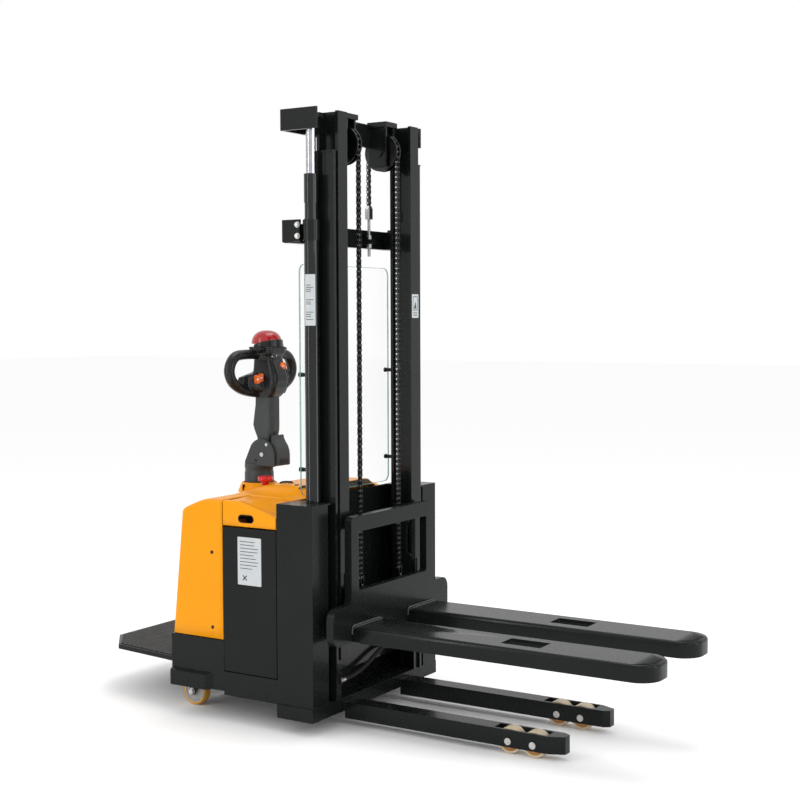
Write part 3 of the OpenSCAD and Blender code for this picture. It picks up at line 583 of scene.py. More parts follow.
FINISHES = (
    Paint("black_gloss_paint", (0.0062, 0.0078, 0.0074), (0.0088, 0.0108, 0.0104), rough=0.25, coat=0.12),
    Paint(
        "mast_paint", (0.0045, 0.0054, 0.0053), (0.0065, 0.0078, 0.0076), rough=0.23, coat=0.3,
        rounding=0.0035, spec=0.08, coat_rough=0.05,
    ),
    Paint(
        "cylinder_paint", (0.0045, 0.0054, 0.0054), (0.006, 0.0072, 0.0072), rough=0.13, coat=0.6, wear=0.0,
        coat_rough=0.05,
    ),
    Paint("door_paint", (0.0066, 0.0076, 0.0076), (0.0088, 0.01, 0.01), rough=0.36, coat=0.08, rounding=0.0015),
    Paint(
        "yellow_paint", (0.76, 0.275, 0.002), (0.79, 0.295, 0.003), bare=(0.75, 0.36, 0.04), rough=0.34, coat=0.1,
        rounding=0.002, peel=0.06, wear=0.1, dust=0.02,
    ),
    Paint(
        "cast_charcoal", (0.03, 0.036, 0.036), (0.038, 0.045, 0.045), rough=0.42, coat=0.0, peel=0.3,
        wear=0.12, spec=0.3,
    ),
    Paint("motor_grey", (0.09, 0.095, 0.1), (0.13, 0.135, 0.14), rough=0.5, coat=0.0, peel=0.3),
    # Piston rod chrome: colour darkened and tinted violet below real chrome, a painted reflection of dark surroundings
    # for the rods to mirror.
    Metal("chrome_rod", (0.48, 0.48, 0.51), (0.36, 0.36, 0.4), rough=0.12, lines=0.05),
    Metal("bright_zinc", (0.62, 0.61, 0.58), (0.46, 0.45, 0.43), rough=0.32),
    Metal("turned_steel", (0.33, 0.33, 0.33), (0.2, 0.2, 0.2), rough=0.35),
    # Fork weld beads: colour lighter than the fork's black paint, a painted highlight for the light a glossy bead
    # catches; the bare colour on rubbed spots is wear.
    Paint(
        "weld_paint", (0.03, 0.034, 0.034), (0.05, 0.055, 0.055), rough=0.2, coat=0.5, wear=0.35,
        bare=(0.3, 0.31, 0.31),
    ),
    Metal("dull_zinc", (0.3, 0.3, 0.29), (0.2, 0.2, 0.195), rough=0.3),
    Metal("dark_sheave", (0.02, 0.021, 0.022), (0.04, 0.041, 0.042), rough=0.36),
    Metal("oiled_steel", (0.03, 0.03, 0.031), (0.055, 0.055, 0.056), rough=0.34),
    Metal("pin_steel", (0.72, 0.72, 0.72), (0.5, 0.5, 0.5), rough=0.25),
    Moulded("grip_plastic", (0.0055, 0.006, 0.006), (0.008, 0.0088, 0.0088), rough=0.32, grain=0.1, coat=0.12),
    Moulded("soft_rubber", (0.0055, 0.0055, 0.0055), (0.01, 0.01, 0.01), rough=0.6, grain=0.3),
    Moulded("mat_rubber", (0.0075, 0.008, 0.008), (0.013, 0.0135, 0.0135), rough=0.55, grain=0.35, dust=0.12),
    Moulded("cream_tread", (0.62, 0.53, 0.38), (0.5, 0.41, 0.28), rough=0.42, grain=0.2, coat=0.1),
    Moulded("amber_side", (0.45, 0.2, 0.05), (0.34, 0.14, 0.035), rough=0.45, grain=0.2),
    Moulded("caster_tyre", (0.62, 0.32, 0.05), (0.5, 0.24, 0.035), rough=0.4, grain=0.15, coat=0.1),
    Moulded("hub_grey", (0.3, 0.3, 0.29), (0.4, 0.4, 0.39), rough=0.45, grain=0.15),
    Moulded("dark_tyre", (0.02, 0.02, 0.022), (0.03, 0.03, 0.032), rough=0.5, grain=0.3),
    Moulded("red_gloss", (0.36, 0.006, 0.008), (0.3, 0.004, 0.006), rough=0.22, grain=0.03, coat=0.6, dust=0.0),
    Moulded("estop_red", (0.62, 0.014, 0.014), (0.55, 0.01, 0.01), rough=0.3, grain=0.05, coat=0.3, dust=0.0),
    Moulded("key_orange", (0.8, 0.13, 0.004), (0.74, 0.11, 0.003), rough=0.3, grain=0.04, coat=0.4, dust=0.0),
    Moulded("key_mark", (0.8, 0.72, 0.62), (0.72, 0.62, 0.5), rough=0.4, grain=0.02, dust=0.0),
    Moulded("battery_plastic", (0.05, 0.055, 0.06), (0.07, 0.075, 0.08), rough=0.5),
    Moulded("label_white", (0.5, 0.53, 0.54), (0.44, 0.47, 0.48), rough=0.4, grain=0.02, coat=0.2, dust=0.0),
    Moulded("label_ink", (0.05, 0.055, 0.06), (0.07, 0.07, 0.08), rough=0.45, grain=0.02, dust=0.0),
    Clear("clear_sheet", (0.8, 0.9, 0.87), alpha=0.03),
    Clear("clear_edge", (0.2, 0.42, 0.35), alpha=0.6, rough=0.1),
)

NODE_FINISH = {
    "black_gloss_paint": (
        "base_frame mast_housing leg_left leg_right carriage_frame platform_hinge caster_fork_left "
        "caster_fork_right platform"
    ),
    "mast_paint": (
        "outer_upright_left outer_upright_right outer_crossbars inner_upright_left inner_upright_right "
        "inner_crossmembers cylinder_clamps"
    ),
    "cylinder_paint": "cylinder_barrels",
    "door_paint": "door_left door_right",
    "yellow_paint": "rear_cover side_cover_left side_cover_right console",
    "chrome_rod": "piston_rods",
    "bright_zinc": "roller_axles",
    "dull_zinc": "chain_anchors",
    "dark_sheave": "chain_sheaves",
    "turned_steel": (
        "outer_guide_rollers inner_guide_rollers carriage_rollers_upper carriage_rollers_lower"
    ),
    "oiled_steel": "chains_rear chains_front",
    "motor_grey": "hydraulic_unit controller drive_unit",
    "battery_plastic": "battery",
    "clear_sheet": "screen",
    "cast_charcoal": "tiller_base tiller_arm",
    "grip_plastic": "tiller_head thumb_throttle",
    "key_orange": "lift_button lower_button horn_button slow_button",
    "red_gloss": "belly_button",
    "estop_red": "estop_knob",
    "dark_tyre": "drive_wheel",
    "caster_tyre": "caster_wheel_left caster_wheel_right",
    "cream_tread": "load_roller_left_rear load_roller_left_front load_roller_right_rear load_roller_right_front",
    "mat_rubber": "platform_mat",
    "soft_rubber": "trim_fasteners hydraulic_hose",
}


@dataclass
class Workshop:
    """Holds the finished materials and dresses the CAD nodes."""

    materials: dict[str, bpy.types.Material] = field(default_factory=dict)

    def prepare(self) -> None:
        """Builds every finish and dresses every CAD node."""
        effects = Effects()
        for finish in FINISHES:
            self.materials[finish.name] = finish.build(effects)
        for finish_name, nodes in NODE_FINISH.items():
            for node in nodes.split():
                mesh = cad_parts[node].data
                mesh.materials.clear()
                mesh.materials.append(self.materials[finish_name])
        fork_paint = self.materials["black_gloss_paint"]
        for side in Side:
            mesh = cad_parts[f"fork_{side.word}"].data
            mesh.materials.clear()
            mesh.materials.append(fork_paint)
        LOG.info("dressed %d CAD nodes", len(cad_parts))


SHOP = Workshop()


# ---------------------------------------------------------------- shape building


class Solid:
    """Gathers shapes in millimetres and makes one piece of them."""

    def __init__(self, name: str, finish: str) -> None:
        """Starts an empty piece.

        Args:
            name: name of the piece.
            finish: name of its first finish.
        """
        self.name = name
        self.bm = bmesh.new()
        self.finishes = [finish]
        self.current = 0

    def paint(self, finish: str) -> "Solid":
        """Gives the shapes added from here on another finish.

        Args:
            finish: name of the finish.

        Returns:
            This piece.
        """
        if finish not in self.finishes:
            self.finishes.append(finish)
        self.current = self.finishes.index(finish)
        return self

    def _mark(self, faces: Iterable[bmesh.types.BMFace]) -> None:
        """Gives new faces the current finish."""
        for face in faces:
            face.material_index = self.current

    def skin(
        self, loops: Sequence[Sequence[Point]], closed: bool = True, caps: bool = True, join_ends: bool = False
    ) -> "Solid":
        """Covers a row of loops that have the same number of points.

        Args:
            loops: rows of points.
            closed: whether each loop closes on itself.
            caps: whether the first and last loop are filled.
            join_ends: whether the last loop joins the first.

        Returns:
            The piece itself.
        """
        rows = [[self.bm.verts.new(Vector(p)) for p in loop] for loop in loops]
        faces = []
        pairs = list(zip(rows, rows[1:])) + ([(rows[-1], rows[0])] if join_ends else [])
        count = len(rows[0])
        for low, high in pairs:
            for i in range(count if closed else count - 1):
                j = (i + 1) % count
                faces.append(self.bm.faces.new((low[i], low[j], high[j], high[i])))
        if caps and not join_ends:
            faces.append(self.bm.faces.new(rows[0]))
            faces.append(self.bm.faces.new(list(reversed(rows[-1]))))
        self._mark(faces)
        return self

    def prism(self, outline: Sequence[Point], low: float, high: float, axis: Axis) -> "Solid":
        """Extrudes an outline between two heights along an axis."""
        return self.skin([[put(axis, u, v, w) for u, v in outline] for w in (low, high)])

    def panel(
        self, outline: Sequence[Point], holes: Sequence[Sequence[Point]], low: float, high: float, axis: Axis
    ) -> "Solid":
        """Extrudes an outline with holes between two heights along an axis.

        Args:
            outline: outer outline as points.
            holes: outlines cut from it.
            low: lower bound or start.
            high: upper bound or end.
            axis: axis that the shape runs along.

        Returns:
            This piece.
        """
        edges = []
        for ring in (outline, *holes):
            verts = [self.bm.verts.new(put(axis, u, v, low)) for u, v in ring]
            edges += [self.bm.edges.new((a, b)) for a, b in zip(verts, verts[1:] + verts[:1])]
        filled = bmesh.ops.triangle_fill(self.bm, use_beauty=True, use_dissolve=False, edges=edges)
        base = [f for f in filled["geom"] if isinstance(f, bmesh.types.BMFace)]
        grown = bmesh.ops.extrude_face_region(self.bm, geom=base)["geom"]
        moved = [v for v in grown if isinstance(v, bmesh.types.BMVert)]
        shift = put(axis, 0.0, 0.0, high - low)
        bmesh.ops.translate(self.bm, verts=moved, vec=shift)
        faces = set(base)
        for vert in moved:
            faces.update(vert.link_faces)
        self._mark(faces)
        return self

    def block(self, low: Point, high: Point) -> "Solid":
        """Adds a box between two corners; the bevel rounds it later."""
        outline = [(low[0], low[1]), (high[0], low[1]), (high[0], high[1]), (low[0], high[1])]
        return self.prism(outline, low[2], high[2], Axis.Z)

    def lathe(self, profile: Sequence[Point], centre: Point, axis: Axis, sides: int = 40) -> "Solid":
        """Turns a profile of (radius, height) points round an axis through centre.

        Args:
            profile: radius and height points.
            centre: point on the axis.
            axis: axis that the shape runs along.
            sides: number of flat sides.

        Returns:
            This piece.
        """
        loops = []
        for k in range(sides):
            a = 2 * math.pi * k / sides
            loops.append(
                [Vector(centre) + put(axis, r * math.cos(a), r * math.sin(a), w) for r, w in profile]
            )
        return self.skin(loops, closed=True, caps=False, join_ends=True)

    def disc(self, centre: Point, r: float, low: float, high: float, axis: Axis, sides: int = 24) -> "Solid":
        """Adds a closed disc or rod; low and high are measured from centre along the axis."""
        around = [(2 * math.pi * k / sides) for k in range(sides)]
        return self.skin(
            [[Vector(centre) + put(axis, r * math.cos(a), r * math.sin(a), w) for a in around] for w in (low, high)]
        )

    def dome(self, centre: Point, r: float, height: float, axis: Axis, sides: int = 20) -> "Solid":
        """Adds a low round head that starts at centre.

        Args:
            centre: point on the axis.
            r: radius.
            height: how far it stands out.
            axis: axis that the shape runs along.
            sides: number of flat sides.

        Returns:
            This piece.
        """
        rows = []
        for k in range(6):
            a = math.radians(90 * k / 5.5)
            ring_r = r * math.cos(a)
            rows.append([
                Vector(centre)
                + put(axis, ring_r * math.cos(2 * math.pi * i / sides), ring_r * math.sin(2 * math.pi * i / sides),
                      height * math.sin(a))
                for i in range(sides)
            ])
        return self.skin(rows)

    def hex_bolt(self, centre: Point, size: float, height: float, axis: Axis) -> "Solid":
        """Adds a hexagon head on a washer, growing from centre along the axis.

        Args:
            centre: point on the axis.
            size: width across flats.
            height: how far it stands out.
            axis: axis that the shape runs along.

        Returns:
            This piece.
        """
        sign = 1.0 if height > 0 else -1.0
        self.disc(centre, size * 0.72, 0.0, sign * 1.6, axis, 24)
        return self.disc(centre, size * 0.577, sign * 1.6, height, axis, 6)

    def tube(
        self, path: Sequence[Point], radius: Callable[[float], float], sides: int = 12, closed: bool = False,
        squeeze: float = 1.0,
    ) -> "Solid":
        """Sweeps a round section along a path.

        Args:
            path: centre line.
            radius: radius at a share of the length, from 0 to 1.
            sides: points round the section.
            closed: whether the path returns to its start.
            squeeze: flattening of the section's second direction.

        Returns:
            The piece itself.
        """
        pts = [Vector(p) for p in path]
        count = len(pts)
        loops = []
        normal: Optional[Vector] = None
        for i, point in enumerate(pts):
            ahead = pts[(i + 1) % count] if closed else pts[min(i + 1, count - 1)]
            behind = pts[i - 1] if closed or i > 0 else pts[0]
            along = (ahead - behind).normalized()
            if normal is None:
                helper = Vector((1, 0, 0)) if abs(along.x) < 0.9 else Vector((0, 0, 1))
                normal = along.cross(helper).normalized()
            normal = (normal - along * normal.dot(along)).normalized()
            other = along.cross(normal)
            r = radius(i / max(count - 1, 1))
            loops.append([
                point
                + normal * (r * math.cos(2 * math.pi * k / sides))
                + other * (r * squeeze * math.sin(2 * math.pi * k / sides))
                for k in range(sides)
            ])
        return self.skin(loops, caps=not closed, join_ends=closed)

    def bead(self, path: Sequence[Point], width: float, seed: int = 0) -> "Solid":
        """Lays a weld bead with its ripples along a path.

        Args:
            path: points along the middle.
            width: width of the bead.
            seed: start of its ripples.

        Returns:
            This piece.
        """
        pts = []
        for a, b in zip(path, path[1:]):
            va, vb = Vector(a), Vector(b)
            steps = max(int((vb - va).length / 2.0), 2)
            pts += [va.lerp(vb, k / steps) for k in range(steps)]
        pts.append(Vector(path[-1]))
        total = len(pts)

        def ripple(share: float) -> float:
            """Width of the bead at a share of its length."""
            i = share * total
            return width * (0.86 + 0.14 * math.sin(i * 1.6 + seed) + 0.12 * noise.noise(Vector((i * 0.21, seed, 0))))

        return self.tube(pts, ripple, sides=8)

    def turn(self, angle: float, axis: Axis, centre: Point) -> "Solid":
        """Turns everything gathered so far by an angle in degrees.

        Args:
            angle: turn in degrees.
            axis: axis that the shape runs along.
            centre: point on the axis.

        Returns:
            This piece.
        """
        matrix = Matrix.Rotation(math.radians(angle), 3, axis.name)
        bmesh.ops.rotate(self.bm, cent=Vector(centre), matrix=matrix, verts=self.bm.verts)
        return self

    def emit(
        self, body: str, bevel: float = 0.0, segments: int = 2, replaces: Sequence[str] = (),
        subdivide: int = 0, shell: float = 0.0, remesh: float = 0.0, flip: bool = False, limit: float = 32.0,
        ride: bool = True,
    ) -> bpy.types.Object:
        """Turns the gathered shapes into a Blender object on its body.

        Args:
            body: CAD body that it moves with.
            bevel: width of the edge rounding in millimetres.
            segments: steps of the rounding.
            replaces: CAD nodes that it stands for.
            subdivide: levels of subdivision.
            shell: thickness of an open skin in millimetres.
            remesh: voxel size in millimetres for a blended shape.
            flip: whether the skin's outside is turned over.
            limit: angle in degrees that counts as an edge.
            ride: whether it rides rigidly on the body.

        Returns:
            The new object.
        """
        if shell == 0.0:
            bmesh.ops.recalc_face_normals(self.bm, faces=self.bm.faces)
        if flip:
            bmesh.ops.reverse_faces(self.bm, faces=self.bm.faces)
        for vert in self.bm.verts:
            vert.co = to_frame(vert.co)
        mesh = bpy.data.meshes.new(self.name)
        self.bm.to_mesh(mesh)
        self.bm.free()
        for name in self.finishes:
            mesh.materials.append(SHOP.materials[name])
        mesh.polygons.foreach_set("use_smooth", [True] * len(mesh.polygons))
        obj = bpy.data.objects.new(self.name, mesh)
        bpy.context.scene.collection.objects.link(obj)
        if shell:
            solid = obj.modifiers.new("shell", "SOLIDIFY")
            solid.thickness = shell / 1000.0
            solid.offset = -1.0
        if remesh:
            voxel = obj.modifiers.new("blend", "REMESH")
            voxel.mode = "VOXEL"
            voxel.voxel_size = remesh / 1000.0
            voxel.use_smooth_shade = True
            relax = obj.modifiers.new("relax", "SMOOTH")
            relax.factor = 0.5
            relax.iterations = 6
        if bevel:
            edge = obj.modifiers.new("edges", "BEVEL")
            edge.width = bevel / 1000.0
            edge.segments = segments
            edge.limit_method = "ANGLE"
            edge.angle_limit = math.radians(limit)
            edge.harden_normals = True
        elif not remesh and not subdivide:
            mesh.set_sharp_from_angle(angle=math.radians(limit))
        if subdivide:
            surface = obj.modifiers.new("surface", "SUBSURF")
            surface.levels = surface.render_levels = subdivide
        if ride:
            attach(obj, body)
        if replaces:
            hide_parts(*replaces)
        LOG.info("piece %s on %s: %d faces", self.name, body, len(mesh.polygons))
        return obj


def bake(obj: bpy.types.Object) -> bpy.types.Object:
    """Applies an object's modifiers to its mesh.

    Args:
        obj: object to bake.

    Returns:
        The same object.
    """
    graph = bpy.context.evaluated_depsgraph_get()
    mesh = bpy.data.meshes.new_from_object(obj.evaluated_get(graph))
    obj.modifiers.clear()
    obj.data = mesh
    return obj


def cut(obj: bpy.types.Object, cutter: Solid) -> bpy.types.Object:
    """Takes the cutter's shape out of an object.

    Args:
        obj: the object that is cut.
        cutter: the shape that is taken out.

    Returns:
        The object with the hole.
    """
    tool = cutter.emit("chassis")
    step = obj.modifiers.new("hole", "BOOLEAN")
    step.operation = "DIFFERENCE"
    step.solver = "EXACT"
    step.object = tool
    bake(obj)
    bpy.data.objects.remove(tool)
    return obj


# ---------------------------------------------------------------- forks and carriage


@dataclass
class Forks:
    """Two folded fork channels with their load-roller windows."""

    tip_radius: float = 78.0
    edge_radius: float = 12.0
    wall: float = 8.0
    roof: float = 12.0
    heel_cut: float = 34.0

    def _plan(self, low: Vector, high: Vector, inset: float, start: float) -> list[tuple[float, float]]:
        """Outline of one fork, inset from its edge and starting at the given x.

        Args:
            low: lower bound or start.
            high: upper bound or end.
            inset: distance in from the edge.
            start: x of the rear end.

        Returns:
            The outline as points.
        """
        r = self.tip_radius - inset
        y0, y1, x1 = low.y + inset, high.y - inset, high.x - inset
        return (
            [(start, y0)]
            + arc(x1 - r, y0 + r, r, -90, 0, 10)
            + arc(x1 - r, y1 - r, r, 0, 90, 10)
            + [(start, y1)]
        )

    def build(self) -> None:
        """Builds both forks."""
        for side in Side:
            low, high = span(f"fork_{side.word}")
            solid = Solid(f"fork_channel_{side.word}", "black_gloss_paint")
            top = high.z
            rows = []
            for k in range(6):
                a = math.radians(90 * k / 5)
                inset = self.edge_radius * (1 - math.cos(a))
                z = top - self.edge_radius + self.edge_radius * math.sin(a)
                rows.append([(x, y, z) for x, y in self._plan(low, high, inset, 0.0)])
            solid.skin([[(x, y, top - self.edge_radius) for x, y in self._plan(low, high, 0.0, 0.0)]] + rows[1:],
                       closed=True, caps=False)
            edge = [(x, y) for x, y, _ in rows[-1]]
            mid = (low.y + high.y) / 2
            hole = rounded((576, mid - 42), (726, mid + 42), 5)
            solid.panel(edge, [hole], top - self.roof + 0.01, top, Axis.Z)
            outer = self._plan(low, high, 0.0, self.heel_cut)
            inner = list(reversed(self._plan(low, high, self.wall, self.heel_cut)))
            solid.prism(outer + inner, low.z, top - self.edge_radius + 0.02, Axis.Z)
            bmesh.ops.remove_doubles(solid.bm, verts=solid.bm.verts, dist=0.02)
            solid.emit("carriage", bevel=1.2, replaces=[f"fork_{side.word}"])
            shank = Solid(f"fork_shank_{side.word}", "black_gloss_paint")
            for inner_y, outer_y in ((low.y + 9, mid - 41), (mid + 41, high.y - 9)):
                shank.block((0.5, inner_y, low.z + 1), (self.heel_cut + 2, outer_y, top - self.roof - 0.5))
            shank.emit("carriage", bevel=1.0)
            # The weld finish's lighter colour is a painted highlight along the beads.
            weld = Solid(f"fork_weld_{side.word}", "weld_paint")
            for s in (-1, 1):
                edge_y = mid + s * (high.y - mid)
                weld.bead(smooth_path([
                    (3.5, mid, top + 2.5), (3.5, edge_y - s * 26, top + 2.5), (3.5, edge_y - s * 6, top),
                    (3.5, edge_y + s * 1.5, top - 12), (3.5, edge_y + s * 1.5, top - 26),
                ], 5), 4.4, 3)
                second_run = [(17, mid, top + 0.8), (17, edge_y - s * 16, top + 0.8), (13, edge_y - s * 4, top - 5)]
                weld.bead(second_run, 3.2, 5)
            weld.emit("carriage")


@dataclass
class CarriageTrim:
    """Welds and the lower chain anchors with their nuts on the carriage."""

    chain_y: float = 133.0

    def build(self) -> None:
        """Builds the trim."""
        solid = Solid("carriage_welds", "black_gloss_paint")
        for side in Side:
            s = side.value
            solid.bead([(-30, s * 202, 490), (-30, s * 202, 560)], 3.4, 2)
            solid.bead([(-30, s * 214, 490), (-30, s * 214, 560)], 3.4, 4)
            solid.bead([(-64, s * 150, 484.5), (-31, s * 150, 484.5)], 3.0, 6)
        solid.bead([(-29, -150, 484), (-29, 150, 484)], 3.2, 7)
        solid.emit("carriage")
        nuts = Solid("chain_anchor_lower", "bright_zinc")
        lo_chain = span("chains_front")[0]
        x = span("chains_front")[1].x - 5
        for side in Side:
            y = side.value * self.chain_y
            nuts.disc((x, y, 0), 6.4, 438, lo_chain.z - 26, Axis.Z, 20)
            for z0, z1 in ((485, 497), (498.5, 508), (455, 467)):
                nuts.disc((x, y, 0), 11.5, z0, z1, Axis.Z, 6)
            nuts.disc((x, y, 0), 14, 467, 468.4, Axis.Z, 24)
            nuts.paint("oiled_steel")
            for dy in (-8.5, 8.5):
                nuts.block((x - 9, y + dy - 2.5, lo_chain.z - 30), (x + 9, y + dy + 2.5, lo_chain.z + 12))
            nuts.block((x - 9, y - 8, lo_chain.z - 32), (x + 9, y + 8, lo_chain.z - 20))
            nuts.paint("bright_zinc").disc((x, y, lo_chain.z + 3), 5, -12.5, 12.5, Axis.Y, 16)
        nuts.emit("carriage", bevel=0.7)


@dataclass
class LiftChains:
    """Roller chains from the carriage over the sheaves to the crossbar."""

    pitch: float = 19.05
    plate: float = 6.6
    chain_y: float = 133.0
    half_gap: float = 4.6

    def _link(self, solid: Solid, a: Vector, b: Vector, y: float, outer: bool) -> None:
        """Adds the two plates, the pin and the roller of one pitch.

        Args:
            solid: piece that gathers the links.
            a: first pin centre in the (x, z) plane.
            b: second pin centre in the (x, z) plane.
            y: middle of the chain.
            outer: whether these are the outer plates.
        """
        along = (b - a).normalized()
        across = Vector((-along.z, 0, along.x))
        mid = (a + b) / 2
        half = (b - a).length / 2
        r, waist = self.plate, self.plate * 0.72
        outline = []
        for centre, turn in ((half, -1), (-half, 1)):
            for k in range(5):
                t = math.radians(-75 + 150 * k / 4)
                outline.append((centre + turn * -1 * r * math.cos(t), turn * -1 * r * math.sin(t)))
            outline.append((0.0, -turn * waist))
        inner_y, thick = (self.half_gap + 2.1, 1.8) if outer else (self.half_gap, 1.8)
        for s in (-1, 1):
            solid.paint("oiled_steel")
            rows = [
                [mid + along * u + across * v + Vector((0, y + s * w, 0)) for u, v in outline]
                for w in (inner_y, inner_y + thick)
            ]
            solid.skin(rows)
        if outer:
            solid.paint("pin_steel")
            for centre in (a, b):
                ring = [
                    along * (2.9 * math.cos(math.radians(60 * k))) + across * (2.9 * math.sin(math.radians(60 * k)))
                    for k in range(6)
                ]
                solid.skin([[centre + p + Vector((0, y + w, 0)) for p in ring] for w in (-9.6, 9.6)])
        else:
            solid.paint("turned_steel")
            for centre in (a, b):
                ring = [
                    along * (4.2 * math.cos(math.radians(45 * k))) + across * (4.2 * math.sin(math.radians(45 * k)))
                    for k in range(8)
                ]
                solid.skin([[centre + p + Vector((0, y + w, 0)) for p in ring] for w in (-4.5, 4.5)])

    def _run(self, solid: Solid, points: Sequence[Vector], y: float) -> None:
        """Lays links along a row of pin centres."""
        for i, (a, b) in enumerate(zip(points, points[1:])):
            self._link(solid, a, b, y, i % 2 == 0)

    def build(self) -> None:
        """Builds the front and rear chains."""
        front_low, front_high = span("chains_front")
        rear_low, rear_high = span("chains_rear")
        x_front = front_high.x - 5
        x_rear = (rear_low.x + rear_high.x) / 2
        z_sheave = rear_high.z
        radius = (x_front - x_rear) / 2
        x_mid = (x_front + x_rear) / 2
        count = int((z_sheave - front_low.z) / self.pitch)
        step = (z_sheave - front_low.z) / count
        front = Solid("lift_chain_front", "oiled_steel")
        wrap = Solid("lift_chain_wrap", "oiled_steel")
        rear = Solid("lift_chain_rear", "oiled_steel")
        for side in Side:
            y = side.value * self.chain_y
            self._run(front, [Vector((x_front, 0, front_low.z + step * i)) for i in range(count + 1)], y)
            turns = int(math.pi * radius / self.pitch)
            turns -= turns % 2
            angles = [math.pi * i / turns for i in range(turns + 1)]
            self._run(
                wrap,
                [Vector((x_mid + radius * math.cos(a), 0, z_sheave + radius * math.sin(a))) for a in angles],
                y,
            )
            rows = int((z_sheave - rear_low.z) / self.pitch)
            drop = (z_sheave - rear_low.z) / rows
            self._run(rear, [Vector((x_rear, 0, z_sheave - drop * i)) for i in range(rows + 1)], y)
        front_piece = front.emit("carriage", ride=False, limit=50)
        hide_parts("chains_front")
        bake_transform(front_piece)
        wrap.emit("inner_mast", limit=50)
        rear_piece = rear.emit("inner_mast", ride=False, limit=50)
        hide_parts("chains_rear")
        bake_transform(rear_piece)
        clevis = Solid("chain_clevis", "bright_zinc")
        for side in Side:
            y = side.value * self.chain_y
            z = rear_low.z
            for dy in (-9.5, 9.5):
                clevis.block((x_rear - 8, y + dy - 2, z - 30), (x_rear + 8, y + dy + 2, z + 9))
            clevis.disc((x_rear, y, z), 5, -14, 14, Axis.Y, 16)
        clevis.emit("chassis", bevel=0.6)


# ---------------------------------------------------------------- mast details


@dataclass
class Label:
    """Generic printed plate with plain bars and a simple pictogram."""

    name: str
    body: str
    rows: int
    cross: bool = True

    def build(self, low: Point, high: Point, side_y: float, out: float, slot: str) -> None:
        """Builds a plate in the XZ plane.

        Args:
            low: lowest (x, z).
            high: highest (x, z).
            side_y: y of the wall behind it.
            out: direction of its face, 1 or -1.
            slot: not used.
        """
        solid = Solid(self.name, "label_white")
        y0, y1 = sorted((side_y, side_y + out * 0.5))
        solid.panel(rounded(low, high, 3), [], y0, y1, Axis.Y)
        solid.paint("label_ink")
        width, height = high[0] - low[0], high[1] - low[1]
        i0, i1 = sorted((side_y + out * 0.4, side_y + out * 0.7))
        for k in range(self.rows):
            z = low[1] + height * (0.34 + 0.56 * k / max(self.rows - 1, 1))
            reach = 0.62 + 0.26 * abs(math.sin(k * 2.3))
            solid.block((low[0] + width * 0.1, i0, z), (low[0] + width * reach, i1, z + height * 0.014))
        if self.cross:
            cx, cz, r = low[0] + width * 0.3, low[1] + height * 0.15, min(width, height) * 0.12
            for a in (45, -45):
                dx, dz = r * math.cos(math.radians(a)), r * math.sin(math.radians(a))
                nx, nz = -dz * 0.16, dx * 0.16
                bar = [(cx - dx - nx, cz - dz - nz), (cx + dx - nx, cz + dz - nz),
                       (cx + dx + nx, cz + dz + nz), (cx - dx + nx, cz - dz + nz)]
                solid.prism(bar, i0, i1, Axis.Y)
        solid.emit(self.body)


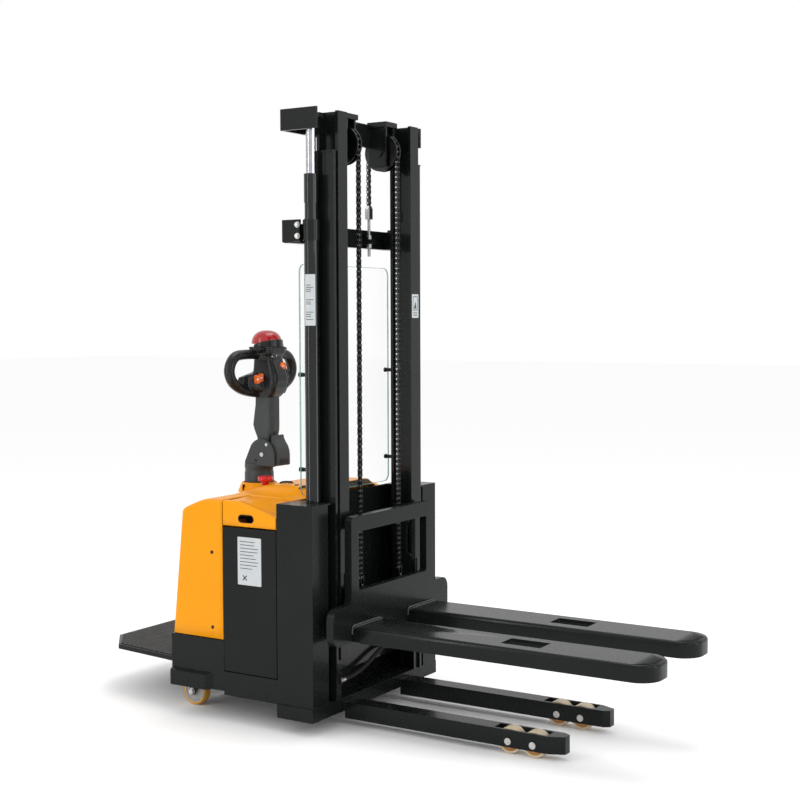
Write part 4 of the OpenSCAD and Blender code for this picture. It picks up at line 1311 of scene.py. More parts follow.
@dataclass
class MastTrim:
    """Bolts, labels, pin heads, screen fixings and the hose."""

    chain_y: float = 133.0

    def _cylinder_label(self) -> None:
        """Wraps a pale label round the near cylinder."""
        low, high = span("cylinder_barrels")
        r = 27.4
        y_mid = low.y + 27.0
        x_mid = (low.x + high.x) / 2
        solid = Solid("cylinder_label", "label_white")
        rows = []
        for a in range(-118, -20, 7):
            t = math.radians(a)
            rows.append([
                (x_mid + q * math.cos(t), y_mid + q * math.sin(t), z)
                for q, z in ((26.9, 1469), (r, 1469), (r, 1652), (26.9, 1652))
            ])
        solid.skin(rows)
        solid.paint("label_ink")
        for k, z in enumerate((1490, 1500, 1508, 1516, 1545, 1552, 1560, 1590, 1597, 1604, 1612)):
            span_deg = 46 if k % 3 else 62
            rows = []
            for a in range(-104, -104 + span_deg, 6):
                t = math.radians(a)
                rows.append([
                    (x_mid + q * math.cos(t), y_mid + q * math.sin(t), h)
                    for q, h in ((r - 0.2, z), (r + 0.25, z), (r + 0.25, z + 2.4), (r - 0.2, z + 2.4))
                ])
            solid.skin(rows)
        solid.emit("chassis")

    def _bolts(self) -> None:
        """Adds the clamp bolts, sheave pin heads and screen fixings."""
        clamp_low, clamp_high = span("cylinder_clamps")
        bolts = Solid("clamp_bolts", "bright_zinc")
        for side in Side:
            y = side.value * (clamp_high.y - 6)
            for z in (clamp_low.z + 17, clamp_low.z + 57):
                bolts.hex_bolt((clamp_low.x + 7, y, z), 15, side.value * 8, Axis.Y)
        bolts.emit("chassis", bevel=0.6)
        sheave_low, sheave_high = span("chain_sheaves")
        x = (sheave_low.x + sheave_high.x) / 2
        z = (sheave_low.z + sheave_high.z) / 2
        pins = Solid("sheave_pin_heads", "turned_steel")
        for side in Side:
            s = side.value
            pins.disc((x, s * (self.chain_y + 30.5), z), 19, 0, s * 3, Axis.Y, 28)
            pins.disc((x, s * (self.chain_y + 33), z), 9, 0, s * 2, Axis.Y, 6)
        pins.emit("inner_mast", bevel=0.7)
        screen_low, screen_high = span("screen")
        fixings = Solid("screen_fixings", "soft_rubber")
        for side in Side:
            y = side.value * (296 - 8)
            for z in (943, 1290):
                fixings.disc((screen_low.x, y, z), 6.5, -5, 0, Axis.X, 20)
                fixings.disc((screen_high.x, y, z), 12, 22, 34, Axis.X, 24)
                fixings.disc((screen_high.x, y, z), 8, 0, 5, Axis.X, 20)
        fixings.emit("chassis", bevel=1.5)

    def _mast_welds(self) -> None:
        """Lays the weld seams of both mast stages."""
        outer = Solid("crossbar_welds", "mast_paint")
        _, high = span("outer_crossbars")
        bar_top = high.z - 12
        for side in Side:
            s = side.value
            outer.bead([(-213, s * 284, bar_top - 3), (-152, s * 284, bar_top - 3)], 2.8, 3)
            outer.bead([(-213, s * 296, bar_top - 3), (-152, s * 296, bar_top - 3)], 2.8, 5)
            outer.bead([(-151, s * 290, bar_top - 66), (-151, s * 290, bar_top - 4)], 2.8, 5)
        outer.emit("chassis")
        inner = Solid("crosshead_welds", "mast_paint")
        top = span("inner_crossmembers")[1].z
        for side in Side:
            s = side.value
            for y in (99, 109, 154, 164):
                inner.bead([(-168, s * (self.chain_y - 133 + y), top - 21), (-104, s * y, top - 21)], 2.2, y)
            inner.bead([(-56, s * 250, top - 14), (-148, s * 250, top - 14)], 2.6, 1)
        inner.emit("inner_mast")

    def _hose(self) -> None:
        """Lays the hydraulic hose behind the mast's foot, with its fittings."""
        points = [
            (-118, -188, 150), (-118, -146, 150), (-119, -100, 152), (-121, -50, 160), (-123, 0, 174),
            (-125, 45, 190), (-127, 85, 204), (-129, 120, 212), (-130, 160, 214),
        ]
        line = smooth_path(points, 5)
        hose = Solid("hydraulic_hose_line", "soft_rubber")
        hose.tube(line, lambda t: 8.6 + 0.4 * math.sin(t * 420), sides=16)
        piece = hose.emit("chassis", replaces=["hydraulic_hose"], limit=60)
        fittings = Solid("hose_fittings", "bright_zinc")
        for end, inward in ((points[0], 1.0), (points[-1], -1.0)):
            fittings.disc(end, 11, 0, 24 * inward, Axis.Y, 24)
            fittings.disc(end, 14, -8 * inward, 0, Axis.Y, 6)
            fittings.disc(end, 10, -11 * inward, -8 * inward, Axis.Y, 20)
        joint = fittings.emit("chassis", bevel=0.8)

    def build(self) -> None:
        """Builds all the mast's trim."""
        self._cylinder_label()
        self._bolts()
        self._mast_welds()
        self._hose()
        self._upright_label()

    def _upright_label(self) -> None:
        """Puts a small white plate on the front flange of the far inner upright."""
        low, high = span("inner_upright_left")
        solid = Solid("upright_label", "label_white")
        mid = (low.y + high.y) / 2
        solid.panel(rounded((mid - 24, 1496), (mid + 24, 1588), 3), [], high.x, high.x + 0.5, Axis.X)
        solid.paint("label_ink")
        solid.panel(
            rounded((mid - 17, 1525), (mid + 17, 1580), 3), [rounded((mid - 14, 1528), (mid + 14, 1577), 2)],
            high.x + 0.4, high.x + 0.8, Axis.X,
        )
        solid.prism([(mid - 10, 1532), (mid + 10, 1532), (mid + 2, 1560), (mid - 5, 1545)],
                    high.x + 0.4, high.x + 0.8, Axis.X)
        for z in (1504, 1510, 1516):
            solid.block((high.x + 0.4, mid - 17, z), (high.x + 0.8, mid + 15, z + 2.2))
        solid.emit("inner_mast")


@dataclass
class ScreenEdge:
    """Green-looking edge round the clear screen."""

    corner: float = 30.0

    def build(self) -> None:
        """Builds the edge band."""
        low, high = span("screen")
        solid = Solid("screen_edge", "clear_edge")
        outline = rounded((low.y, low.z), (high.y, high.z), self.corner, 8)
        inner = rounded((low.y + 1.6, low.z + 1.6), (high.y - 1.6, high.z - 1.6), self.corner - 1.6, 8)
        solid.panel(outline, [inner], low.x + 0.05, high.x - 0.05, Axis.X)
        solid.emit("chassis")


# ---------------------------------------------------------------- legs, wheels and platform


@dataclass
class Rollers:
    """Load rollers with bonded treads, casters and the axle ends."""

    tread: float = 9.0

    def _load_roller(self, node: str) -> None:
        """Builds one load roller with its sides and bearing.

        Args:
            node: name of the CAD node.
        """
        low, high = span(node)
        centre = (low + high) / 2
        r, half = (high.z - low.z) / 2, (high.y - low.y) / 2
        bore = 10.6
        solid = Solid(f"{node}_tread", "cream_tread")
        profile = [(r - self.tread, -half + 2), (r - 3.5, -half + 1.2), (r - 1, -half + 3), (r, -half + 6),
                   (r, half - 6), (r - 1, half - 3), (r - 3.5, half - 1.2), (r - self.tread, half - 2)]
        solid.lathe(profile, centre, Axis.Y, 56)
        solid.paint("amber_side")
        solid.lathe([(26, -half + 1.2), (r - self.tread + 0.4, -half + 2.2), (r - self.tread + 0.4, half - 2.2),
                     (26, half - 1.2)], centre, Axis.Y, 48)
        solid.paint("hub_grey")
        solid.lathe([(19, -half + 3), (25.8, -half + 0.8), (25.8, half - 0.8), (19, half - 3)], centre, Axis.Y, 40)
        solid.paint("turned_steel")
        solid.lathe([(bore, -half + 2), (18.8, -half + 2), (18.8, half - 2), (bore, half - 2)], centre, Axis.Y, 32)
        solid.emit(node.replace("load_roller", "load"), replaces=[node], limit=28)

    def _caster(self, side: Side) -> None:
        """Builds one caster wheel and the bolts of its fork.

        Args:
            side: side of the truck.
        """
        node = f"caster_wheel_{side.word}"
        low, high = span(node)
        centre = (low + high) / 2
        r, half = (high.z - low.z) / 2, (high.y - low.y) / 2
        solid = Solid(f"{node}_tyre", "caster_tyre")
        solid.lathe([(r - 11, -half + 3), (r - 5, -half), (r - 1.5, -half + 4), (r, -half + 10), (r, half - 10),
                     (r - 1.5, half - 4), (r - 5, half), (r - 11, half - 3)], centre, Axis.Y, 64)
        solid.paint("hub_grey")
        solid.lathe([(8.4, -half), (17, -half), (18, -half + 7), (r - 18, -half + 8), (r - 15, -half + 3),
                     (r - 10.6, -half + 3), (r - 10.6, half - 3), (r - 15, half - 3), (r - 18, half - 8),
                     (18, half - 7), (17, half), (8.4, half)], centre, Axis.Y, 48)
        solid.emit(f"caster_{side.word}", replaces=[node], limit=28)
        bolts = Solid(f"caster_bolts_{side.word}", "bright_zinc")
        for s in (-1, 1):
            bolts.hex_bolt((centre.x, centre.y + s * (half + 10), centre.z), 19, s * 9, Axis.Y)
        bolts.emit(f"swivel_{side.word}", bevel=0.7)

    def build(self) -> None:
        """Builds all rollers and the axle ends in the legs."""
        for side in Side:
            for place in ("rear", "front"):
                self._load_roller(f"load_roller_{side.word}_{place}")
            self._caster(side)
        ends = Solid("axle_ends", "bright_zinc")
        leg_low, leg_high = span("leg_left")
        for place in ("rear", "front"):
            low, high = span(f"load_roller_left_{place}")
            x, z = (low.x + high.x) / 2, (low.z + high.z) / 2
            for side in Side:
                for y, out in ((leg_high.y, 1), (leg_low.y, -1)):
                    ends.disc((x, side.value * y, z), 12.5, 0, side.value * out * 2.6, Axis.Y, 28)
                    ends.disc((x, side.value * (y + out * 2.6), z), 5.5, 0, side.value * out * 1.4, Axis.Y, 20)
        ends.emit("chassis", bevel=0.8)
        welds = Solid("leg_welds", "black_gloss_paint")
        for side in Side:
            s = side.value
            front = span("base_frame")[1].x
            a, b = s * (leg_low.y - 1), s * (leg_high.y + 1)
            welds.bead([(front + 1, a, 56), (front + 1, a, leg_high.z), (front + 1, b, leg_high.z), (front + 1, b, 56)],
                       3.4, 2)
        welds.emit("chassis")


@dataclass
class Platform:
    """Rubber mat with round studs on the folding platform."""

    stud: float = 5.2
    step: float = 17.0

    def build(self) -> None:
        """Builds the mat and its studs."""
        low, high = span("platform_mat")
        deck_low, _ = span("platform")
        top = high.z
        taper = 113.0

        def half_at(x: float) -> float:
            """Half width of the mat at x.

            Args:
                x: place along the truck.

            Returns:
                The value in millimetres.
            """
            run = x - deck_low.x
            if run < taper:
                return 199 + (326 - 199) * max(run, 0.0) / taper
            return 326 + 44 * (run - taper) / (high.x - deck_low.x - taper)

        outline = [(high.x, -half_at(high.x) + 12), (deck_low.x + taper, -314), (low.x, -190), (low.x, 190),
                   (deck_low.x + taper, 314), (high.x, half_at(high.x) - 12)]
        mat = Solid("platform_mat_sheet", "mat_rubber")
        mat.prism(list(reversed(outline)), low.z + 0.05, top - 1.2, Axis.Z)
        mat.emit("deck", bevel=1.0, replaces=["platform_mat"])
        studs = Solid("platform_mat_studs", "mat_rubber")
        row = 0
        x = low.x + 14
        while x < high.x - 8:
            y = -half_at(x) + 24 + (self.step / 2 if row % 2 else 0)
            while y < half_at(x) - 22:
                rings = []
                for r, z in ((self.stud, top - 1.3), (self.stud - 0.6, top - 0.2), (self.stud - 1.6, top)):
                    rings.append([(x + r * math.cos(math.radians(45 * k)), y + r * math.sin(math.radians(45 * k)), z)
                                  for k in range(8)])
                studs.skin(rings)
                y += self.step
            x += self.step * 0.866
            row += 1
        studs.emit("deck", limit=50)


# ---------------------------------------------------------------- covers


@dataclass
class Covers:
    """Yellow covers, black doors and what is fixed on them."""

    corner: float = 24.0
    roof_radius: float = 15.0
    sheet: float = 3.0

    def _roof(self, x: float, tail: float, front: float, top: float) -> float:
        """Height of the rear cover's top at x."""
        share = (x - tail) / (front - tail)
        return top - 44 * (1 - min(max(share * 1.7, 0.0), 1.0)) ** 1.25 - 4 * (1 - min(max(share, 0.0), 1.0))

    def _rear_cover(self) -> None:
        """Builds the slanted rear cover with its rounded corners."""
        low, high = span("rear_cover")
        half = high.y
        lean = 48.0
        crown = span("side_cover_left")[1].z
        foot_z, brow_z = low.z, crown - 64
        tail = low.x + lean

        def plan(inset: float, back: float) -> list[tuple[float, float]]:
            """Outline of the cover, inset from its edge, with its rear face at back.

            Args:
                inset: distance in from the edge.
                back: x of the rear face.

            Returns:
                The outline as points.
            """
            r = max(self.corner - inset, 4.0)
            x0, h = back + inset, half - inset
            side = [(high.x - (high.x - x0 - r) * k / 8, h) for k in range(9)]
            corner = arc(x0 + r, h - r, r, 90, 180, 8)[1:]
            rear = [(x0, (h - r) * (1 - 2 * k / 8)) for k in range(1, 8)]
            other = [(x, -y) for x, y in reversed(side[:-1] + [side[-1]] + corner)]
            return side + corner + rear + other

        rows = []
        for k in range(9):
            z = foot_z + (brow_z - foot_z) * k / 8
            rows.append([(x, y, z) for x, y in plan(0.0, low.x + lean * k / 8)])
        radius = self.roof_radius
        for k in range(0, 7):
            a = math.radians(90 * k / 6)
            inset, drop = radius * (1 - math.cos(a)), radius * (1 - math.sin(a))
            ring = []
            for x, y in plan(inset, tail):
                ring.append((x, y, self._roof(x, tail, high.x, crown) - drop))
            rows.append(ring)
        solid = Solid("rear_cover_shell", "yellow_paint")
        solid.skin(rows, closed=False, caps=False)
        solid.bm.verts.ensure_lookup_table()
        count = len(rows[-1])
        last = solid.bm.verts[-count:]
        for i in range(count // 2):
            j = count - 1 - i
            if j - i > 2:
                solid.bm.faces.new((last[i], last[i + 1], last[j - 1], last[j]))
            elif j - i == 2:
                solid.bm.faces.new((last[i], last[i + 1], last[j]))
        bmesh.ops.recalc_face_normals(solid.bm, faces=solid.bm.faces)
        solid.emit("chassis", shell=self.sheet, replaces=["rear_cover"], limit=50)
        centre = (-636.0, 0.0, 0.0)
        collar = Solid("tiller_collar", "yellow_paint")
        collar.lathe([(61.2, 808), (86, 808), (81, 818), (74, 836), (70, 844), (65.5, 847), (61.2, 846)],
                     centre, Axis.Z, 56)
        collar.paint("soft_rubber")
        collar.block((centre[0] + 66, -8, 816), (centre[0] + 84, -5.5, 840))
        collar.block((centre[0] - 20, -84, 816), (centre[0] - 17.5, -64, 840))
        collar.emit("chassis", bevel=0.8)

    def _lid(self, side: Side) -> None:
        """Builds one sloping lid with its hand slot.

        Args:
            side: side of the truck.
        """
        node = f"side_cover_{side.word}"
        low, high = span(node)
        s = side.value
        outer = max(abs(low.y), abs(high.y))
        inner = min(abs(low.y), abs(high.y))
        x0, x1 = low.x, high.x
        rows = []
        stations = [x0, x0 + 25, x0 + 50, x0 + 68, x0 + 76, x0 + 110, x0 + 150, x0 + 200, x1]
        for x in stations:
            run = x - x0
            ridge = high.z if run <= 68 else high.z - 46 * (run - 68) / (x1 - x0 - 68)
            row = [(outer, low.z), (outer, (low.z + ridge - 12) / 2)]
            row += [(y, z) for y, z in arc(outer - 12, ridge - 12, 12, 0, 80, 6)]
            row += [(outer - 28, ridge - 0.5), (outer - 32, ridge - 3.5), ((outer + inner) / 2, ridge + 5 if run > 68
                    else ridge - 3), (inner + 6, min(ridge + 20, high.z - 1)), (inner, min(ridge + 14, high.z - 6)),
                    (inner, low.z + 10)]
            rows.append([(x, s * y, z) for y, z in row])
        solid = Solid(f"lid_{side.word}", "yellow_paint")
        solid.skin(rows, closed=False, caps=False)
        solid.bm.verts.ensure_lookup_table()
        per = len(rows[0])
        for start in (0, len(rows) - 1):
            verts = [solid.bm.verts[start * per + i] for i in range(per)]
            solid.bm.faces.new(verts)
        bmesh.ops.recalc_face_normals(solid.bm, faces=solid.bm.faces)
        obj = solid.emit("chassis", shell=self.sheet, replaces=[node], limit=35)
        bake(obj)
        slot_low, slot_high = (x0 + 74, low.z + 17), (x0 + 140, low.z + 41)
        cutter = Solid("slot_tool", "yellow_paint")
        cutter.prism(rounded(slot_low, slot_high, 11.5, 8), min(s * (outer - 20), s * (outer + 20)),
                     max(s * (outer - 20), s * (outer + 20)), Axis.Y)
        cut(obj, cutter)
        pocket = Solid(f"hand_slot_{side.word}", "soft_rubber")
        ring_out = rounded((slot_low[0] - 3, slot_low[1] - 3), (slot_high[0] + 3, slot_high[1] + 3), 14, 8)
        ring_in = rounded(slot_low, slot_high, 11.5, 8)
        y_out, y_in = s * (outer + 0.6), s * (outer - 3)
        pocket.panel(ring_out, [ring_in], min(y_out, y_in), max(y_out, y_in), Axis.Y)
        pocket.emit("chassis", bevel=0.6)

    def _console(self) -> None:
        """Builds the raised hood between tiller and mast, with its handle."""
        low, high = span("console")
        rows = []
        for x, rise, wide in (
            (low.x, 0.0, 0.62), (low.x + 14, 0.35, 0.66), (low.x + 50, 0.6, 0.7), (low.x + 110, 0.78, 0.74),
            (low.x + 200, 0.9, 0.78), (high.x - 30, 1.0, 0.8), (high.x, 0.97, 0.8),
        ):
            deck = 829.5
            top = deck + 3 + (high.z - deck - 3) * rise
            half = [(0, top), (high.y * wide * 0.72, top - 0.5), (high.y * wide * 0.86, top - 3),
                    (high.y * wide * 0.94, top - (top - deck) * 0.45), (high.y * (wide + 0.06), deck + 3),
                    (high.y - 16, deck + 1), (high.y - 3, deck - 4), (high.y, deck - 18)]
            ring = [(-y, z) for y, z in reversed(half[1:])] + half
            rows.append([(x, y, z) for y, z in ring])
        solid = Solid("console_shell", "yellow_paint")
        solid.skin(rows, closed=False, caps=False)
        bmesh.ops.recalc_face_normals(solid.bm, faces=solid.bm.faces)
        solid.emit("chassis", subdivide=2, shell=self.sheet, replaces=["console"])
        handle = Solid("console_handle", "grip_plastic")
        handle.tube(
            smooth_path([(-462, -96, 846), (-459, -96, 858), (-446, -96, 864), (-410, -96, 866), (-398, -96, 860),
                         (-395, -96, 848)], 5),
            lambda t: 4.0, sides=12,
        )
        handle.tube(
            smooth_path([(-300, -190, 846), (-292, -190, 862), (-270, -190, 866), (-262, -190, 848)], 5),
            lambda t: 4.5, sides=12,
        )
        handle.disc((-340, -150, 852), 15, 0, 9, Axis.Z, 28).disc((-340, -150, 861), 9, 0, 6, Axis.Z, 24)
        handle.emit("chassis", bevel=0.8)

    def _doors(self) -> None:
        """Builds the battery doors, their label and the cover screws."""
        for side in Side:
            s = side.value
            node = f"door_{side.word}"
            low, high = span(node)
            solid = Solid(f"battery_{node}", "door_paint")
            solid.panel(rounded((low.x, low.z), (high.x, high.z), 4), [], low.y, high.y, Axis.Y)
            face = s * max(abs(low.y), abs(high.y))
            solid.emit("chassis", bevel=1.6, segments=3, replaces=[node])
            Label(f"door_label_{side.word}", "chassis", 9).build(
                (low.x + 68, 523), (low.x + 176, 699), face, s, "frame_paint"
            )
        screws = Solid("cover_screws", "oiled_steel")
        half = span("rear_cover")[1].y
        for side in Side:
            for z in (350, 631):
                screws.dome((-529, side.value * half, z), 7, side.value * 3.2, Axis.Y)
        screws.emit("chassis")

    def build(self) -> None:
        """Builds all covers."""
        self._rear_cover()
        for side in Side:
            self._lid(side)
        self._console()
        self._doors()


@dataclass
class EmergencyStop:
    """Red mushroom knob on a black collar."""

    def build(self) -> None:
        """Builds the knob and its fixed collar."""
        low, high = span("estop_knob")
        centre = ((low.x + high.x) / 2, (low.y + high.y) / 2, 0)
        knob = Solid("estop_mushroom", "estop_red")
        top = high.z
        knob.lathe([(0.4, top - 46), (13, top - 46), (14, top - 30), (17, top - 20), (24, top - 18.5), (28, top - 17),
                    (29, top - 13), (29, top - 4), (27, top - 1), (20, top - 0.4), (19, top - 1.6), (0.4, top - 1.6)],
                   centre, Axis.Z, 44)
        knob.emit("estop", replaces=["estop_knob"], limit=40)
        collar = Solid("estop_collar", "grip_plastic")
        collar.lathe([(15, top - 60), (24, top - 60), (24, top - 44), (21, top - 41), (15, top - 41)],
                     centre, Axis.Z, 36)
        collar.emit("chassis", bevel=0.6)


# ---------------------------------------------------------------- tiller


@dataclass
class Tiller:
    """Steering column, hinged arm and the head with its two handle loops."""

    grip: float = 19.0
    loop_half: float = 201.0

    def _column(self) -> None:
        """Builds the turning base with its cheeks and nose."""
        low, _ = span("tiller_base")
        steer_x = low.x + 58
        pivot = ((low.x + 58 + 48), 0.0, 960.0)
        base = Solid("tiller_column", "cast_charcoal")
        base.lathe([(20, 833), (57, 833), (58, 835), (58, 885), (56, 889), (56, 899), (57.5, 902),
                    (57.5, 918), (54, 922), (20, 922)], (steer_x, 0, 0), Axis.Z, 56)
        base.emit("steering", replaces=["tiller_base"], limit=30)
        outline = (
            [(steer_x - 34, 914), (steer_x - 34, 930)]
            + arc(pivot[0], pivot[2], 62, 146, 20, 14)
            + [(pivot[0] + 64, 966), (pivot[0] + 65, 914)]
        )
        cheeks = Solid("tiller_cheeks", "cast_charcoal")
        for s in (-1, 1):
            cheeks.prism(list(reversed(outline)), min(s * 38.5, s * 49), max(s * 38.5, s * 49), Axis.Y)
        cheeks.emit("steering", bevel=2.4, segments=3)
        nose = Solid("tiller_nose", "cast_charcoal")
        shape = [
            (pivot[0] + 42, 914), (pivot[0] + 76, 917), (pivot[0] + 78, 921), (pivot[0] + 78, 960),
            (pivot[0] + 75, 978), (pivot[0] + 68, 994), (pivot[0] + 58, 1008), (pivot[0] + 50, 1022),
            (pivot[0] + 47, 1036), (pivot[0] + 43, 1036), (pivot[0] + 41, 1018), (pivot[0] + 40, 990),
        ]
        nose.prism(shape, -38, 38, Axis.Y)
        nose.emit("steering", bevel=3.0, segments=3)
        grille = Solid("tiller_nose_insert", "grip_plastic")
        grille.block((pivot[0] + 77.5, -27, 922), (pivot[0] + 79.2, 27, 944))
        for y in (-18, -6, 6, 18):
            grille.block((pivot[0] + 79.2, y - 3.5, 926), (pivot[0] + 80.4, y + 3.5, 940))
        grille.emit("steering", bevel=0.6)
        bolts = Solid("tiller_bolts", "bright_zinc")
        for s in (-1, 1):
            bolts.disc((pivot[0] + 4, s * 49, 960), 8.5, 0, s * 3.4, Axis.Y, 28)
            bolts.disc((pivot[0] + 4, s * 52.4, 960), 4.4, 0, s * 1.6, Axis.Y, 6)
            bolts.disc((pivot[0] + 27, s * 49, 1000), 6.5, 0, s * 2.4, Axis.Y, 24)
            bolts.disc((pivot[0] + 27, s * 51.4, 1000), 3.2, 0, s * 1.2, Axis.Y, 6)
        bolts.paint("soft_rubber")
        for s in (-1, 1):
            bolts.disc((pivot[0] - 26, s * 49, 936), 6, -0.2, s * 0.8, Axis.Y, 24)
        bolts.emit("steering", bevel=0.5)

    def _arm(self) -> None:
        """Builds the arm between the pivot and the head."""
        _, high = span("tiller_arm")
        top = high.z
        pivot_x, pivot_z = -588.0, 960.0
        arm = Solid("tiller_arm_shell", "cast_charcoal")
        levels = [
            (pivot_z - 22, -20, 22, 36), (pivot_z, -29, 29, 37), (pivot_z + 40, -29, 29, 37),
            (pivot_z + 66, -31, 30, 36), (pivot_z + 94, -44, 41, 36), (pivot_z + 116, -51, 42, 36),
            (pivot_z + 150, -46, 42, 36), (top - 30, -39, 42, 36), (top + 4, -38, 42, 36),
        ]
        rows = []
        for z, back, front, half in levels:
            b, f, c = pivot_x + back, pivot_x + front, 24 if front > 35 else 12
            rows.append([(x, y, z) for x, y in (
                (b, 4 - half), (b + 4, -half), (f - c, -half), (f - c * 0.45, -half + 4), (f - 3, -half + 15),
                (f, -half + 20), (f, half - 20), (f - 3, half - 15), (f - c * 0.45, half - 4), (f - c, half),
                (b + 4, half), (b, half - 4),
            )])
        arm.skin(rows)
        arm.emit("tiller", replaces=["tiller_arm"], bevel=1.4, segments=3, limit=30)

    def _head(self) -> None:
        """Builds the head: loops, apron, belly and body as one blended moulding, then the seam, shroud and face plate.
        """
        low, high = span("tiller_head")
        z0, z1 = low.z, high.z
        loop_x = -620.0
        head_x = loop_x + 28
        head = Solid("tiller_head_moulding", "grip_plastic")
        w = self.loop_half
        for s in (-1, 1):
            path = smooth_path([
                (head_x - 14, 0, z1 - 35), (loop_x + 6, s * 50, z1 - 34), (loop_x, s * 112, z1 - 34),
                (loop_x, s * (w - 38), z1 - 41), (loop_x, s * (w - 8), z1 - 68), (loop_x, s * w, z1 - 104),
                (loop_x, s * (w - 20), z1 - 140), (loop_x, s * (w - 70), z0 + 37), (loop_x + 3, s * 66, z0 + 22),
                (loop_x + 8, 0, z0 + 18),
            ], 7)
            head.tube(path, lambda t: self.grip * (1.0 + 0.12 * math.sin(math.pi * t) ** 2), sides=18)
        apron = []
        for x, shrink in ((loop_x - 13, 5.0), (loop_x - 6, 0.0), (loop_x + 10, 0.0), (loop_x + 18, 6.0)):
            half = [(0, z0 + 2 + shrink), (52, z0 + 5 + shrink), (112, z0 + 28 + shrink), (152 - shrink, z0 + 54),
                    (136 - shrink, z0 + 84 - shrink), (88, z0 + 94 - shrink), (40, z0 + 102)]
            ring = half + [(-y, z) for y, z in reversed(half[1:])]
            apron.append([(x, y, z) for y, z in ring])
        head.skin(apron)
        belly = []
        for x, half, low_z, high_z in (
            (loop_x + 4, 128, 34, 92), (loop_x + 16, 112, 32, 94), (loop_x + 30, 84, 26, 98),
            (loop_x + 44, 50, 20, 104), (loop_x + 52, 30, 20, 104),
        ):
            belly.append([(x, y, z) for y, z in rounded((-half, z0 + low_z), (half, z0 + high_z), 24, 5)])
        head.skin(belly)
        body = []
        for z, back, front, half in (
            (z0 + 1, -30, 44, 38), (z0 + 14, -40, 56, 44), (z0 + 40, -44, 69, 49), (z0 + 64, -44, 73, 51),
            (z0 + 90, -42, 71, 50), (z0 + 120, -40, 60, 46), (z0 + 150, -40, 48, 43), (z0 + 164, -44, 50, 46),
            (z0 + 174, -50, 56, 55), (z1 - 4, -54, 59, 59),
        ):
            ring = rounded((head_x + back, -half), (head_x + front, half), 17, 4)
            body.append([(x, y, z) for x, y in ring])
        head.skin(body)
        head.emit("tiller", replaces=["tiller_head"], remesh=2.6)
        seam = Solid("tiller_seam", "grip_plastic")
        for s in (-1, 1):
            seam.tube(smooth_path([
                (head_x + 41, s * 42, z1 - 30), (head_x + 42, s * 43.5, z0 + 148), (head_x + 54, s * 47.5, z0 + 118),
                (head_x + 64, s * 50.5, z0 + 86), (head_x + 64, s * 50, z0 + 50), (head_x + 52, s * 43, z0 + 16),
            ], 6), lambda t: 2.4, sides=8)
        for y, lift in ((-36, 0.0), (-10, 2.0)):
            seam.paint("bright_zinc")
            seam.disc((head_x + 49, y, z1 - 42 + lift), 3.4, 0, 6, Axis.X, 12)
        seam.emit("tiller")
        shroud = Solid("tiller_shroud", "grip_plastic")
        rows = []
        for k in range(15):
            a = math.radians(-104 + 208 * k / 14)
            lift = 24 * max(math.cos(a * 0.82), 0.0) ** 0.7
            c, d = math.cos(a), math.sin(a)
            rows.append([(head_x + r * c, r * d, z) for r, z in (
                (62.6, z1 - 4), (66.4, z1 - 4), (66.0 - lift * 0.1, z1 + lift), (62.6 - lift * 0.1, z1 + lift + 1),
            )])
        shroud.skin(rows)
        shroud.emit("tiller", bevel=1.2)
        plate = Solid("tiller_face_plate", "grip_plastic")
        x = head_x
        plate.prism([(x + 71, z0 + 56), (x + 75, z0 + 64), (x + 73.5, z0 + 92), (x + 62.5, z0 + 121),
                     (x + 50.5, z0 + 149), (x + 46, z0 + 149), (x + 56, z0 + 119), (x + 66, z0 + 90)],
                    -30, 30, Axis.Y)
        plate.emit("tiller", bevel=1.6, segments=3)

    def _keys(self) -> None:
        """Builds the red belly button, four orange keys and the thumb levers."""
        low, high = span("belly_button")
        centre = ((low.x + high.x) / 2, 0.0, low.z)
        r, top = 60.5, high.z - 14 - low.z
        dome = Solid("belly_dome", "red_gloss")
        base = 14.0
        profile = [(1.0, 0.0), (37, 0.0), (37, base), (r - 1.5, base), (r, base + 3)]
        profile += [(r * math.cos(math.radians(a)) ** 0.82, base + 3 + (top - 3) * math.sin(math.radians(a)))
                    for a in range(8, 88, 6)] + [(1.0, base + top)]
        dome.lathe(profile, centre, Axis.Z, 56)
        dome.emit("belly", replaces=["belly_button"], limit=60)
        for node in ("lift_button", "lower_button", "horn_button", "slow_button"):
            low, high = span(node)
            mid = (low + high) / 2
            key = Solid(f"{node}_key", "key_orange")
            horn = node == "horn_button"
            wide, tall = (16.0, 16.0) if horn else (13.0, 17.0)
            lean = math.radians(-16 if horn else math.copysign(34, mid.y))
            out = Vector((math.cos(lean), math.sin(lean), 0))
            side = Vector((-math.sin(lean), math.cos(lean), 0))
            face = Vector((high.x - (2.0 if horn else 3.0), mid.y, mid.z))
            rings = []
            for grow, depth in ((0.0, -13.0), (0.0, 1.6), (-1.4, 4.0), (-4.2, 4.8)):
                rings.append([face + out * depth + side * u + Vector((0, 0, v)) for u, v in rounded(
                    (-wide - grow, -tall - grow), (wide + grow, tall + grow), (14 if horn else 9) + grow * 0.5, 5)])
            key.skin(rings)
            key.paint("key_mark")
            mark = [face + out * d + side * (4.2 * math.cos(t)) + Vector((0, 0, 4.2 * math.sin(t)))
                    for d in (4.4, 5.3) for t in (math.radians(30 * k) for k in range(12))]
            key.skin([mark[:12], mark[12:]])
            key.emit({"lift_button": "lift_key", "lower_button": "lower_key", "horn_button": "horn_key",
                      "slow_button": "slow_key"}[node], replaces=[node], limit=40)
        low, high = span("thumb_throttle")
        lever = Solid("thumb_levers", "grip_plastic")
        x, z = low.x + 16, (low.z + high.z) / 2
        for s in (-1, 1):
            lever.disc((x, s * 46, z), 5, 0, s * 20, Axis.Y, 20)
            shape = arc(x, z, 6.5, 90, 270, 8) + [(x + 20, z - 5.5), (x + 24, z - 1), (x + 20, z + 4)]
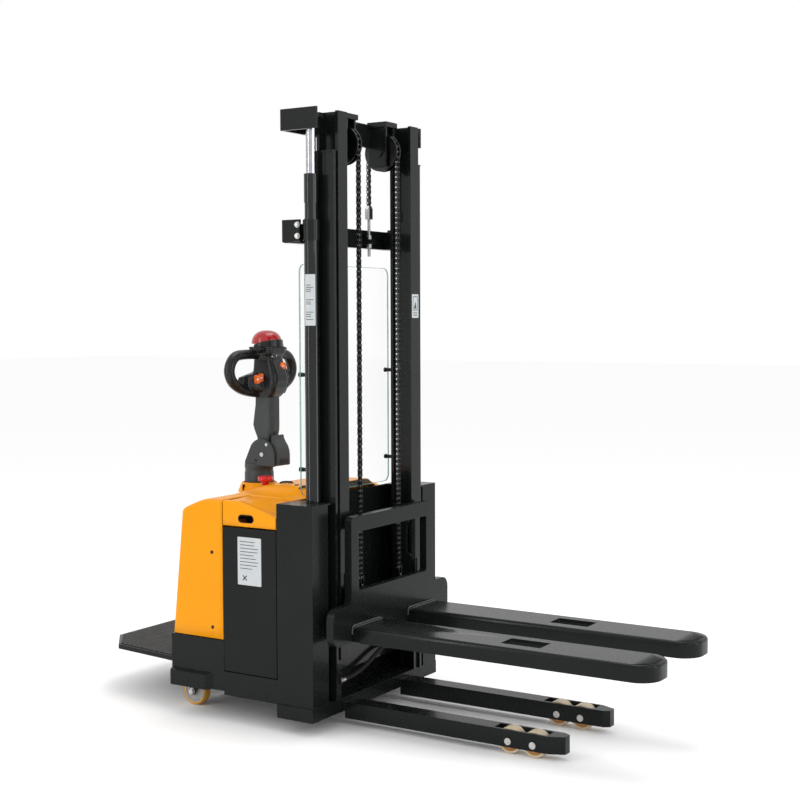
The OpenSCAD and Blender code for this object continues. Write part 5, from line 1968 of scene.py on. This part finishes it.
            lever.prism(list(reversed(shape)), min(s * 62, s * 84), max(s * 62, s * 84), Axis.Y)
        lever.emit("throttle", bevel=1.6, segments=3, replaces=["thumb_throttle"])

    def build(self) -> None:
        """Builds the whole tiller."""
        self._column()
        self._arm()
        self._head()
        self._keys()


# ---------------------------------------------------------------- studio


@dataclass
class Studio:
    """Pale floor, soft lights and the camera."""

    eye: tuple[float, float, float] = (2.8151, -4.3980, 1.4872)
    lens: float = 62.65
    camera_degrees: tuple[float, float, float] = (86.72, 0.21, 32.04)
    key_watts: float = 26.0
    front_watts: float = 40.0
    strip_watts: float = 34.0
    top_watts: float = 70.0
    world_strength: float = 1.0

    def _area(self, name: str, place: Point, aim: Point, size: float, power: float) -> None:
        """Adds one soft square light.

        Args:
            name: name of the light.
            place: where it hangs.
            aim: point that it faces.
            size: edge length in metres.
            power: watts.
        """
        data = bpy.data.lights.new(name, "AREA")
        data.shape = "SQUARE"
        data.size = size
        data.energy = power
        obj = bpy.data.objects.new(name, data)
        obj.location = place
        obj.rotation_euler = (Vector(aim) - Vector(place)).to_track_quat("-Z", "Y").to_euler()
        bpy.context.scene.collection.objects.link(obj)

    def _strip(self, name: str, place: Point, aim: Point, size: tuple[float, float], power: float) -> None:
        """Adds one tall strip light.

        Args:
            name: name of the light.
            place: where it hangs.
            aim: point that it faces.
            size: width and height in metres.
            power: watts.
        """
        self._area(name, place, aim, size[0], power)
        data = bpy.data.lights[name]
        data.shape = "RECTANGLE"
        data.size_y = size[1]

    def build(self) -> None:
        """Builds floor, lights, world and camera."""
        mesh = bpy.data.meshes.new("studio_floor")
        size = 40.0
        mesh.from_pydata([(-size, -size, 0), (size, -size, 0), (size, size, 0), (-size, size, 0)], [], [(0, 1, 2, 3)])
        floor = bpy.data.objects.new("studio_floor", mesh)
        bpy.context.scene.collection.objects.link(floor)
        shader = Shader("studio_floor_paint").fixed(Base_Color=(0.97, 0.97, 0.97, 1.0), Roughness=1.0)
        shader.fixed(Specular_IOR_Level=0.0)
        mesh.materials.append(shader.material)
        world = bpy.data.worlds.new("studio_world")
        world.use_nodes = True
        background = world.node_tree.nodes["Background"]
        background.inputs["Color"].default_value = (1.0, 1.0, 1.0, 1.0)
        background.inputs["Strength"].default_value = self.world_strength
        bpy.context.scene.world = world
        self._area("key_light", (-2.6, -4.6, 4.2), (0, 0, 0.9), 2.4, self.key_watts)
        self._area("front_light", (5.2, -1.2, 3.2), (0, 0, 0.8), 2.6, self.front_watts)
        self._strip("left_strip", (-1.9, -4.3, 1.7), (0.0, -0.2, 1.2), (0.2, 3.4), self.strip_watts)
        self._strip("right_strip", (4.6, 0.9, 1.6), (0.0, 0.0, 1.1), (0.35, 3.2), self.strip_watts)
        self._area("top_light", (0.4, 0.6, 5.0), (0.2, 0, 0.4), 2.6, self.top_watts)
        camera = bpy.data.cameras.new("camera")
        camera.lens = self.lens
        camera.sensor_width = 36.0
        camera.clip_end = 100.0
        obj = bpy.data.objects.new("camera", camera)
        obj.location = self.eye
        obj.rotation_euler = [math.radians(turn) for turn in self.camera_degrees]
        bpy.context.scene.collection.objects.link(obj)
        bpy.context.scene.camera = obj
        bpy.context.scene.view_settings.view_transform = "Standard"
        LOG.info("studio ready")


def main() -> None:
    """Builds every sub-assembly in order."""
    logging.basicConfig(level=logging.INFO, format="%(name)s: %(message)s")
    SHOP.prepare()
    Studio().build()
    for assembly in (
        Forks(), CarriageTrim(), LiftChains(), MastTrim(), ScreenEdge(), Rollers(), Platform(), Covers(),
        EmergencyStop(), Tiller(),
    ):
        assembly.build()
        LOG.info("%s done", type(assembly).__name__)


if __name__ == "__main__":
    main()
